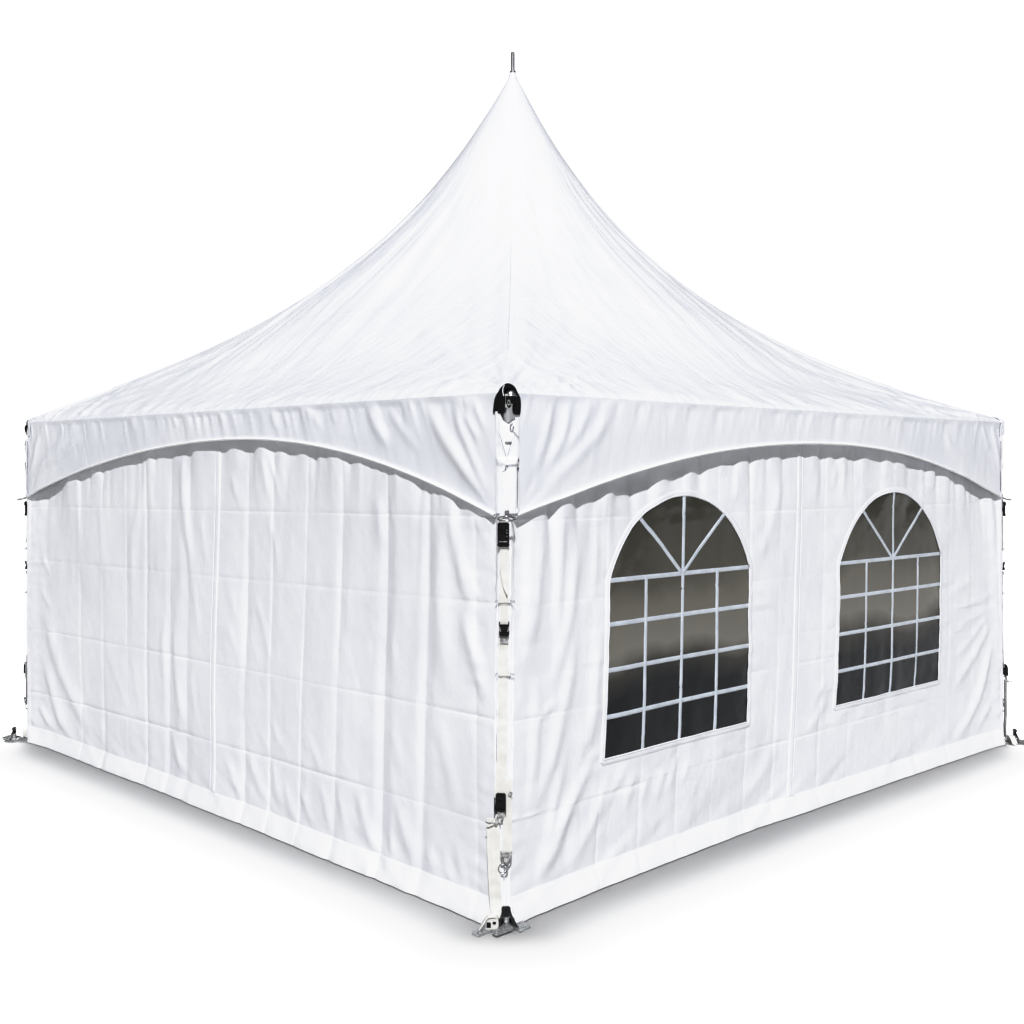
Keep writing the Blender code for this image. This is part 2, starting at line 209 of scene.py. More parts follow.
WHITE_VINYL = finish("white_roof_vinyl", (0.83, 0.84, 0.89), 0.42)
shades(WHITE_VINYL, speckle(WHITE_VINYL, 1.6, 6.0), (0.815, 0.825, 0.875), (0.86, 0.87, 0.91))
sheen_spread(WHITE_VINYL, speckle(WHITE_VINYL, 7.0), 0.36, 0.5)
relief(WHITE_VINYL, speckle(WHITE_VINYL, 5.0, 5.0, kind="RIDGED_MULTIFRACTAL"), 0.0012, 0.5)


def streaks(material, across, along, detail, turn):
    """Noise on the flat cloth, drawn out into streaks that lean by turn degrees."""
    return speckle(material, 1.0, detail, (across, along, 1.0), turn=turn, flat=True)


def weave(material):
    """The ribs of the woven cloth under its coat, level and upright."""
    for direction in ((1.0, 1.0, 0.0), (0.0, 0.0, 1.0)):
        relief(material, stripes(material, 0.0024, direction), 0.0001, 0.3)


def passed(material, axis, start, end, flat=False):
    """A pattern that goes from 0 to 1 between two places along an axis."""
    axes = node(material, "ShaderNodeSeparateXYZ")
    spread = node(material, "ShaderNodeMapRange")
    spread.inputs["From Min"].default_value = start
    spread.inputs["From Max"].default_value = end
    material.node_tree.links.new(place(material, flat=flat), axes.inputs["Vector"])
    material.node_tree.links.new(axes.outputs[axis], spread.inputs["Value"])
    return spread.outputs["Result"]


relief(WHITE_VINYL, streaks(WHITE_VINYL, 15.0, 3.0, 5.0, 9.0), 0.0032)
weave(WHITE_VINYL)
# long streaks up the slope, short ones and slanting ones above the eave: where each kind ends
# up the flat cloth, where it is whole again, and its height
for streak, gone, whole, height in (((12.0, 1.0, 3.0, 6.0), 6.0, 5.0, 0.0085),
                                    ((30.0, 5.0, 3.0, -16.0), 1.6, 0.3, 0.0048),
                                    ((11.0, 0.9, 2.0, -56.0), 1.5, 0.2, 0.0072)):
    both = node(WHITE_VINYL, "ShaderNodeMath", operation="MULTIPLY")
    WHITE_VINYL.node_tree.links.new(passed(WHITE_VINYL, "Y", gone, whole, flat=True), both.inputs[0])
    WHITE_VINYL.node_tree.links.new(streaks(WHITE_VINYL, *streak), both.inputs[1])
    relief(WHITE_VINYL, both.outputs["Value"], height)

# A grey thread whose darkness is painted shade: the shaded groove down each hip, the shadows along the
# sleeve's folds, and in part the shade in the strap knots' curls.
THREAD_PAINTED_SHADE = finish("grey_thread_painted_shade", (0.4, 0.41, 0.44), 0.8,
                     tones=(90.0, (0.28, 0.29, 0.32), (0.55, 0.56, 0.6)))
relief(THREAD_PAINTED_SHADE, stripes(THREAD_PAINTED_SHADE, 0.004, (0.0, 0.0, 1.0)), 0.0004)


def share(value, start, end):
    """How far a value has come from one end to the other, eased at both."""
    step = np.clip((value - start) / (end - start), 0.0, 1.0)
    return step * step * (3 - 2 * step)


def bumps(x, y, seed):
    """Soft random bumps, about one for each unit both ways, from -1 to 1."""
    table = np.random.default_rng(seed).uniform(-1.0, 1.0, (97, 97))
    x, y = np.broadcast_arrays(np.asarray(x, float), np.asarray(y, float))
    column, row = np.floor(x).astype(int), np.floor(y).astype(int)
    across, along = x - column, y - row
    across = across ** 3 * (across * (across * 6 - 15) + 10)
    along = along ** 3 * (along * (along * 6 - 15) + 10)
    left, right, low, high = column % 97, (column + 1) % 97, row % 97, (row + 1) % 97
    near = table[low, left] * (1 - across) + table[low, right] * across
    far = table[high, left] * (1 - across) + table[high, right] * across
    return near * (1 - along) + far * along


def folds(x, y, seed):
    """Folds with sharper crests than bumps, from -1 to 1."""
    return 1 - 2 * np.abs(bumps(x, y, seed)) ** 0.7


def hip_height(level):
    """Height of the cloth at a level, which is 0 at the axis and 1 at the eave."""
    r = level * HIP
    sweep = np.exp(-r / HIP_CURL) - math.exp(-HIP / HIP_CURL)
    roll = EDGE_ROLL * np.exp((r - HIP) / ROLL_LENGTH)
    return SHOULDER + HIP_SLOPE * (HIP - r) + HIP_SWEEP * sweep - roll


def linear_share(value, start, end):
    """How far a value has come from one end to the other."""
    return np.clip((value - start) / (end - start), 0.0, 1.0)


def roof_form(level, angle):
    """The cloth without its folds. The angle is 0 towards the front and grows to the right."""
    spread = (angle + math.pi / 4) % (math.pi / 2) - math.pi / 4
    round_part = ROUND_SHARE * share(level, SQUARE_BELOW, ROUND_ABOVE)
    round_part = round_part + (1 - ROUND_SHARE) * linear_share(level, CONE_ABOVE, TIGHT_ABOVE)
    radius = level * ((1 - round_part) * HALF / np.cos(spread) + round_part * HIP)
    slack = np.minimum(1.0, level / TIGHT_ABOVE)
    lean = (np.sin(angle) + np.cos(angle)) ** 2 / 2
    drift = slack * HIP_DRIFT * level * (1 - level ** 3) * lean / math.sqrt(2)
    x = np.sin(angle) * radius - drift
    y = -np.cos(angle) * radius + drift
    return np.stack(np.broadcast_arrays(x, y, hip_height(level)), axis=-1)


def unit(vectors):
    """The same directions, one metre long."""
    return vectors / np.linalg.norm(vectors, axis=-1, keepdims=True)


slope_levels = np.linspace(0.0, 1.0, 400)
slope_points = roof_form(slope_levels, 0.0)
slope_steps = np.linalg.norm(np.diff(slope_points, axis=0), axis=1)
slope_up = np.concatenate([np.cumsum(slope_steps[::-1])[::-1], [0.0]])


def up_slope(level):
    """Distance up the slope from the eave."""
    return np.interp(level, slope_levels, slope_up)


def level_at(distance):
    """The level that lies this far up the slope from the eave."""
    return np.interp(distance, slope_up[::-1], slope_levels[::-1])


def roof_folds(level, angle):
    """How far the folds stand proud of the roof's form.

    From the top: long folds drawn up each face, ripples beside the hips, gathers and ticks above the
    eave, fans out of the corners, and last the slow and the fine waves of the whole cloth.
    """
    side = np.floor((angle + math.pi / 4) / (math.pi / 2)).astype(int) % 4
    across = np.tan((angle + math.pi / 4) % (math.pi / 2) - math.pi / 4)
    x = across * level * HALF
    up = up_slope(level)
    far = np.where(side % 2 == 0, across, -across)   # towards the corner away from the front left
    wander = 0.25 * bumps(up / 0.7, side * 5.0, 11)
    long_ones = bumps(across / 0.085 + wander + 20.0 * side, up / 1.9, 3)
    long_ones = long_ones + 0.5 * bumps(across / 0.04 + wander + 31.0 * side, up / 1.2, 4)
    where = share(up, 0.25, 0.8) * share(up, 2.7, 1.7) * (0.35 + 0.65 * share(far, -0.55, 0.0))
    height = 0.0085 * long_ones * where * share(np.abs(across), 0.95, 0.6)
    hip_away = (1 - np.abs(across)) * level * HALF
    beside = bumps(hip_away / 0.11 + 40.0 * side, up / 1.4 + across, 5)
    height += 0.006 * beside * share(hip_away, 0.02, 0.15) * share(hip_away, 0.9, 0.3) * share(up, 0.1, 0.7)
    skew = x + 0.35 * up * np.sign(far)
    gathers = folds(skew / 0.13 + 50.0 * side, up / 0.6, 6)
    gathers = gathers + 0.6 * bumps(skew / 0.055 + 9.0 * side, up / 0.5, 17)
    height += 0.01 * gathers * np.exp(-up / 0.3) * share(up, 0.0, 0.06)
    ticks = bumps(x / 0.045 + 60.0 * side, up / 0.3, 7)
    height += 0.0028 * ticks * np.exp(-up / 0.09)
    for end in (-1, 1):
        away = (1 - end * across) * level * HALF
        reach = np.hypot(away, up) + 0.001
        fan = bumps(np.arctan2(up, away) * 7.5 + 70.0 * side + end, reach / 0.9, 8)
        height += 0.023 * fan * np.exp(-reach / 0.8) * share(reach, 0.03, 0.25)
    height += 0.007 * bumps(x / 0.7 + 80.0 * side, up / 0.8, 9) * share(up, 0.0, 0.4)
    height += 0.0007 * bumps(x / 0.08 + 90.0 * side, up / 0.2, 10)
    edge = 0.15 + 0.85 * share(up, 0.005, 0.07)
    return height * share(level, 0.03, 0.15) * edge * share(hip_away, 0.0, 0.06)


def roof_skin(level, angle):
    """A point of the cloth with its folds."""
    small = 0.002
    along = roof_form(level, angle + small) - roof_form(level, angle - small)
    down = roof_form(np.minimum(level + small, 1.0), angle) - roof_form(level - small, angle)
    outward = unit(np.cross(down, along))
    return roof_form(level, angle) + outward * roof_folds(level, angle)[..., None]


def cloth(name, points, material, keep=None, flat=None):
    """A sheet from rows of points. keep says which faces stay, and flat where they lie in the cut cloth."""
    rows, columns = points.shape[:2]
    order = np.arange(rows * columns).reshape(rows, columns)
    quads = np.stack([order[:-1, :-1], order[1:, :-1], order[1:, 1:], order[:-1, 1:]], axis=-1)
    quads = quads.reshape(-1, 4) if keep is None else quads[keep]
    used, quads = np.unique(quads, return_inverse=True)
    mesh = bpy.data.meshes.new(name)
    mesh.from_pydata(points.reshape(-1, 3)[used].tolist(), [], quads.reshape(-1, 4).tolist())
    mesh.materials.append(material)
    if flat is not None:
        turned = np.stack(np.broadcast_arrays(*flat), axis=-1).reshape(-1, 2)[used][quads.ravel()]
        mesh.uv_layers.new(name="flat").data.foreach_set("uv", turned.ravel())
    piece = bpy.data.objects.new(name, mesh)
    bpy.context.scene.collection.objects.link(piece)
    mesh.shade_smooth()
    return piece


def band(name, left, right, lift, material):
    """A strip between two lines on the tent's skin, raised outward by lift with sunk edges."""
    across = right - left
    along = np.gradient((left + right) / 2, axis=0)
    outward = unit(np.cross(along, across))
    middle = (left + right) / 2 - np.array([0.0, 0.0, 1.0])
    outward = outward * np.sign((outward * middle).sum())
    profile = ((0.0, -0.0006), (0.12, lift), (0.5, lift * 1.15), (0.88, lift), (1.0, -0.0006))
    lines = [left + across * part + outward * rise for part, rise in profile]
    return hold(cloth(name, np.stack(lines, axis=1), material), "roof_vinyl")


# columns closer together towards the hips, and rows closer together towards the eave
fold_steps = np.linspace(-1.0, 1.0, FACE_COLUMNS + 1)
face_across = 0.5 * fold_steps + 0.5 * np.sin(fold_steps * math.pi / 2)
angles = np.concatenate([side * math.pi / 2 + np.arctan(face_across[:-1]) for side in range(4)])
angles = np.append(angles, angles[0] + 2 * math.pi)
steps = np.linspace(0.0, 1.0, ROOF_ROWS)
levels = SPIRE_HOLE / HIP + (1 - SPIRE_HOLE / HIP) * steps * (1 + 0.45 * (1 - steps))
skin = roof_skin(levels[:, None], angles[None, :])
turned_down = []
for drop, out in ((0.003, 0.0012), (0.006, 0.0008), (0.008, -0.003), (0.012, -0.005)):
    reach = 1 + out / HALF
    edge_row = skin[-1] * (reach, reach, 1.0)
    edge_row[:, 2] = EAVE - drop
    turned_down.append(edge_row)
skin = np.concatenate([skin, np.stack(turned_down)])
middles = (skin[:-1, :-1] + skin[1:, 1:]) / 2
roof_up = np.append(up_slope(levels), np.linspace(-0.003, -0.012, len(turned_down)))[:, None]
roof_along = HALF * np.concatenate([face_across[:-1] * (1 - 2 * (side % 2)) for side in range(4)] + [[-1.0]])
roof = cloth("roof_cloth", skin, WHITE_VINYL, np.abs(middles[..., :2]).min(axis=-1) < HALF - CORNER_CUT,
             (roof_along * np.append(levels, np.ones(len(turned_down)))[:, None], roof_up))
bm = bmesh.new()
bm.from_mesh(roof.data)
bmesh.ops.remove_doubles(bm, verts=bm.verts, dist=0.00005)
bmesh.ops.recalc_face_normals(bm, faces=bm.faces)
bm.to_mesh(roof.data)
bm.free()
hold(roof, "roof_vinyl", *["roof_" + side for side in SIDES])

hip_levels = np.linspace(0.02, 1 - CORNER_CUT / HALF, 120)
shade_line_levels = np.linspace(0.34, 0.8, 70)
seam_levels = np.linspace(0.02, 0.995, 130)


def seam_up(name, levels, angle, half_wide, lift, material):
    """A seam up the roof at an angle."""
    width = half_wide / levels
    band(name, roof_skin(levels, angle - width), roof_skin(levels, angle + width), lift, material)


# on the lower part of each hip a dark thread line: painted shade of the groove along the hip
for number, corner in enumerate(CORNERS):
    hip = -math.pi / 4 - number * math.pi / 2
    seam_up("roof_hip_seam_" + corner, hip_levels, hip, 0.006 / HIP, 0.0016, WHITE_VINYL)
    seam_up("roof_hip_shade_line_" + corner, shade_line_levels, hip, 0.0009 / HIP, 0.003, THREAD_PAINTED_SHADE)
for number, side in enumerate(SIDES):
    middle = -number * math.pi / 2
    seam_up("roof_face_seam_" + side, seam_levels, middle, 0.01 / HALF, 0.0006, WHITE_VINYL)
    seam_angles = middle + np.linspace(-0.97, 0.97, 160) * math.pi / 4
    band("roof_cross_seam_" + side, roof_skin(level_at(CROSS_SEAM + 0.012), seam_angles),
         roof_skin(level_at(CROSS_SEAM - 0.012), seam_angles), 0.0012, WHITE_VINYL)


# Valances: an arched skirt of the same vinyl sewn under each eave. The straps at the corners
# pull it down, so folds fan out from its two lower ends, and the beam behind leaves tucks along it.

VALANCE_AT = 2.2836         # its flat cloth's distance from the middle of the tent
VALANCE_TOP = 2.1028
VALANCE_END = 2.236         # along the side, from the middle
VALANCE_CORNER_Z = 1.612    # its lower edge at both ends
ARCH_RISE = 0.331
ARCH_POWER = 2.1
ARCH_ASKEW = {"left": (0.003, 0.026), "front": (-0.01, -0.005)}    # up all along, and up on the near half
VALANCE_FOLDS = {
    # width, height and a route, in metres towards the near corner and up; the lit side is on its left
    "left": [
        (0.03, 0.01, 1.36, 2.09, 1.45, 1.97, 1.57, 1.87),
        (0.025, 0.006, 1.5, 2.08, 1.62, 1.97, 1.76, 1.85),
        (0.034, 0.014, 1.77, 2.08, 1.9, 1.92, 2.05, 1.77, 2.18, 1.65),
        (0.024, 0.01, 1.95, 2.09, 2.02, 1.95, 2.12, 1.79, 2.2, 1.66),
        (0.016, 0.006, 2.03, 2.03, 2.14, 1.9), (0.014, 0.005, 2.1, 2.07, 2.17, 1.95),
        (0.018, 0.005, 0.6, 2.09, 0.66, 1.98), (0.016, 0.004, 0.72, 2.07, 0.77, 1.99),
        (0.02, 0.005, 0.93, 2.09, 1.03, 1.97), (0.016, 0.004, 1.1, 2.08, 1.15, 2.0),
        (0.02, 0.005, -0.36, 2.09, -0.24, 1.97), (0.018, 0.004, -0.86, 2.09, -0.78, 2.01),
        (0.04, 0.015, -2.12, 1.72, -1.9, 1.85, -1.7, 1.95, -1.5, 2.06),
        (0.03, 0.011, -2.2, 1.7, -2.11, 1.85, -2.02, 2.07),
        (0.03, 0.008, -1.95, 1.78, -1.7, 1.89, -1.4, 1.98),
    ],
    "front": [
        (0.024, 0.008, 2.0, 2.08, 2.05, 1.92, 2.12, 1.74),
        (0.024, 0.008, 1.89, 2.08, 1.95, 1.92, 2.06, 1.77),
        (0.024, 0.006, 1.76, 2.08, 1.85, 1.95, 1.97, 1.83),
        (0.03, 0.008, 1.6, 2.07, 1.75, 1.92, 1.93, 1.79, 2.16, 1.65),
        (0.008, 0.003, 0.83, 2.09, 0.84, 1.94), (0.008, 0.0024, 1.27, 2.09, 1.28, 1.86),
        (0.008, 0.0016, 0.52, 2.09, 0.53, 1.95), (0.008, 0.0016, 0.25, 2.09, 0.26, 1.96),
        (0.03, 0.011, -2.21, 1.75, -2.15, 1.92, -2.1, 2.09), (0.03, 0.006, -2.05, 1.9, -1.95, 2.07),
        (0.03, 0.006, -1.7, 1.84, -1.5, 1.93, -1.42, 2.06), (0.018, 0.004, -0.8, 2.09, -0.73, 2.02),
    ],
}
VALANCE_FOLDS["right"] = VALANCE_FOLDS["left"]
VALANCE_FOLDS["back"] = VALANCE_FOLDS["front"]
ARCH_ASKEW["right"], ARCH_ASKEW["back"] = ARCH_ASKEW["left"], ARCH_ASKEW["front"]

PIPING_RADIUS = 0.0068
PIPING_PROUD = 0.0034
# whiter than the valance vinyl: partly its own white, partly painted highlight for the bright line along the
# arch's edge
PIPING_PAINTED_HIGHLIGHT = finish("white_piping_painted_highlight", (0.92, 0.92, 0.93), 0.35,
                tones=(20.0, (0.9, 0.9, 0.91), (0.94, 0.94, 0.95)), grain=(90.0, 0.0003))


def on_side(side, x, out, z):
    """World points from the place along a side, seen from outside, the distance out and the height."""
    turn = -SIDES.index(side) * math.pi / 2
    x, out, z = np.broadcast_arrays(x, out, z)
    right = x * math.cos(turn) + out * math.sin(turn)
    back = x * math.sin(turn) - out * math.cos(turn)
    return np.stack([right, back, z], axis=-1)


def to_corner(side, x):
    """Distance from the middle of a side towards the corner that its folds gather at."""
    return x if side in ("left", "right") else -x


def pleats(u, z, routes):
    """The height of long soft folds that follow routes."""
    height = np.zeros(np.broadcast(u, z).shape)
    for wide, tall, *route in routes:
        stops = np.array(route).reshape(-1, 2)
        lengths = np.hypot(*np.diff(stops, axis=0).T)
        nearest = np.full(height.shape, 9.0)
        rise = np.zeros(height.shape)
        for number, length in enumerate(lengths):
            start, step = stops[number], (stops[number + 1] - stops[number]) / length
            along = (u - start[0]) * step[0] + (z - start[1]) * step[1]
            held = np.clip(along, 0.0, length)
            away = np.hypot(u - start[0] - held * step[0], z - start[1] - held * step[1])
            across = (z - start[1]) * step[0] - (u - start[0]) * step[1]
            done = (lengths[:number].sum() + held) / lengths.sum()
            fade = np.clip(4.0 * done, 0.0, 1.0) * np.clip(3.0 * (1 - done), 0.0, 1.0)
            over = np.where(np.abs(along - held) > 0, away * np.sign(across), across)
            bump = tall * fade * np.exp(-((over - 0.7 * wide) / wide) ** 2)
            rise = np.where(away < nearest, bump, rise)
            nearest = np.minimum(nearest, away)
        height += rise
    return height


def arch_height(side, x):
    """Height of the valance's lower edge."""
    part = to_corner(side, x) / VALANCE_END
    up, askew = ARCH_ASKEW[side]
    rise = ARCH_RISE * (1 - np.abs(part) ** ARCH_POWER)
    return VALANCE_CORNER_Z + rise + up * share(np.abs(part), 1.0, 0.85) + askew * np.sin(math.pi * part)


def valance_skin(side, x, z):
    """A point of a valance with its folds: its own ones, fans at both ends, gathers along the top, waves."""
    seed = 20 + SIDES.index(side)
    u = to_corner(side, x)
    out = pleats(u, z, VALANCE_FOLDS[side])
    for end in (-1, 1):
        away, up = 2.24 - end * u, z - 1.6
        reach = np.hypot(away, up) + 0.001
        fan = bumps(np.arctan2(up, away) * 6.0 + 13.0 * end, reach / 0.8, seed)
        out = out + (0.0045 + 0.0015 * end) * fan * np.exp(-reach / 0.5) * share(reach, 0.02, 0.2)
    hang = VALANCE_TOP - z
    gathered = 1.0 if side in ("left", "right") else 0.55
    out = out + 0.008 * gathered * folds((u - 0.45 * hang) / 0.075, z / 0.5, seed + 4) * np.exp(-hang / 0.1)
    out = out + 0.0046 * gathered * bumps((u - 0.4 * hang) / 0.038, z / 0.3, seed + 5) * np.exp(-hang / 0.14)
    out = out + 0.005 * bumps(x / 0.35, z / 0.6, seed + 8) + 0.002 * bumps(x / 0.09, z / 0.16, seed + 12)
    out = np.maximum(out, -0.004) * share(hang, -0.002, 0.034)
    hem = share(z - arch_height(side, x), 0.017, 0.002)
    forward = 0.007 * share(hang, 0.0, 0.16) + 0.004 * share(hang, 0.03, 0.0)
    return on_side(side, x, VALANCE_AT + out + forward + 0.0026 * hem, z)


def marks(start, end, spacing, fine=()):
    """Steps of a grid, closer together at the fine places."""
    steps = np.linspace(start, end, round(abs(end - start) / spacing) + 1)
    extra = (np.array(fine, float)[:, None] + np.array([-0.009, -0.0045, 0.0, 0.0045, 0.009])).ravel()
    steps = np.sort(np.concatenate([steps, extra[(extra > min(start, end)) & (extra < max(start, end))]]))
    steps = steps[np.concatenate([[True], np.diff(steps) > 0.0025])]
    steps[-1] = max(start, end)
    return steps if start < end else steps[::-1]


# a grid closer together at both ends, where the folds fan out
valance_x = np.concatenate([marks(-VALANCE_END, -1.3, 0.0095), marks(-1.3, 1.3, 0.015)[1:-1],
                            marks(1.3, VALANCE_END, 0.0095)])
valance_rows = np.concatenate([[0.0, 0.012], np.linspace(0.028, 0.955, 31), np.linspace(0.965, 1.0, 6)])
for side in SIDES:
    top_to_edge = VALANCE_TOP + (arch_height(side, valance_x) - VALANCE_TOP) * valance_rows[:, None]
    valance_points = valance_skin(side, valance_x[None, :], top_to_edge)
    turned_in = [valance_points[-1] - on_side(side, 0.0, back, down)
                 for back, down in ((0.001, 0.001), (0.003, 0.0008))]
    valance_points = np.concatenate([valance_points, np.stack(turned_in)])
    valance = hold(cloth("valance_cloth_" + side, valance_points, WHITE_VINYL, None,
                         (valance_x[None, :] + 9.0, np.append(top_to_edge, top_to_edge[-2:], axis=0) + 20.0)),
                   "roof_vinyl", "valance_" + side)
    rim = []
    lower_edge = valance_skin(side, valance_x, arch_height(side, valance_x))
    for turn in np.radians(np.linspace(0, 360, 9)):
        out, up = PIPING_PROUD + PIPING_RADIUS * math.cos(turn), PIPING_RADIUS * (0.3 + math.sin(turn))
        rim.append(lower_edge + on_side(side, 0.0, out, up))
    piping = hold(cloth("valance_piping_" + side, np.stack(rim), PIPING_PAINTED_HIGHLIGHT), "roof_vinyl")


# Walls: two curtains a side of white coated polyester, hung from the eave beams. Years folded in a
# bag left a net of creases, the ties at the ends pull long folds, and a sewn hem splays at the foot.

LEG_AT = 2.25           # the posts' axes, and the walls' line, from the middle of the tent
WALL_TOP = 2.0507
HEM_Z = 0.012
WALL_FOOT_OUT = 0.05
WALL_END = 2.205        # along the side, from the middle
WALL_GRID = 0.0165
WALL_SEAM = {"front": -0.12, "left": 0.07, "back": -0.12, "right": 0.07}
WINDOW_SIDES = ("front", "back")
HEM_LINE = 0.102
FOOT_SPREAD = 0.088     # how far the walls spread sideways at the gathered end's foot
CREASE_TOP = 1.9        # the height of the first of a crease's two places
CREASES_UP = {
    # place towards the near corner at the top and at the foot, lit width, shaded width and depth
    "left": [
        (-1.53, -1.49, 0.02, 0.06, 0.003), (-1.23, -1.19, 0.025, 0.06, 0.0035),
        (-0.93, -0.89, 0.012, 0.05, 0.0016), (-0.69, -0.67, 0.018, 0.035, 0.0034),
        (-0.41, -0.42, 0.045, 0.1, 0.009), (-0.2, -0.22, 0.07, 0.075, 0.0095),
        (0.385, 0.375, 0.036, 0.06, 0.0055), (0.61, 0.61, 0.012, 0.05, 0.0022),
        (0.915, 0.88, 0.012, 0.04, 0.0024), (1.195, 1.17, 0.03, 0.06, 0.005),
        (1.53, 1.52, 0.055, 0.07, 0.0105), (1.81, 1.81, 0.045, 0.06, 0.0075),
        (2.09, 2.11, 0.015, 0.03, 0.002),
    ],
    "front": [
        (1.66, 1.66, 0.014, 0.03, 0.0016), (1.38, 1.38, 0.012, 0.03, 0.0014),
        (1.11, 1.11, 0.01, 0.03, 0.002), (0.84, 0.84, 0.01, 0.03, 0.0012),
        (0.57, 0.57, 0.012, 0.03, 0.0016), (0.3, 0.3, 0.016, 0.035, 0.0016),
        (-0.12, -0.12, 0.016, 0.035, 0.0018), (-0.42, -0.42, 0.012, 0.03, 0.0012),
        (-1.56, -1.56, 0.012, 0.03, 0.0014), (-1.86, -1.86, 0.012, 0.03, 0.0012),
    ],
}
CREASES_ACROSS = {
    # height in the middle of the side, rise for each metre towards the near corner, and depth
    "left": [
        (1.578, 0.013, 0.0013), (1.232, 0.013, 0.0011), (0.774, 0.013, 0.0016), (0.36, 0.013, 0.0022),
    ],
    "front": [
        (1.585, 0.002, 0.0012), (1.238, 0.003, 0.0009), (0.938, 0.008, 0.001), (0.782, 0.004, 0.001),
        (0.396, -0.004, 0.0011),
    ],
}
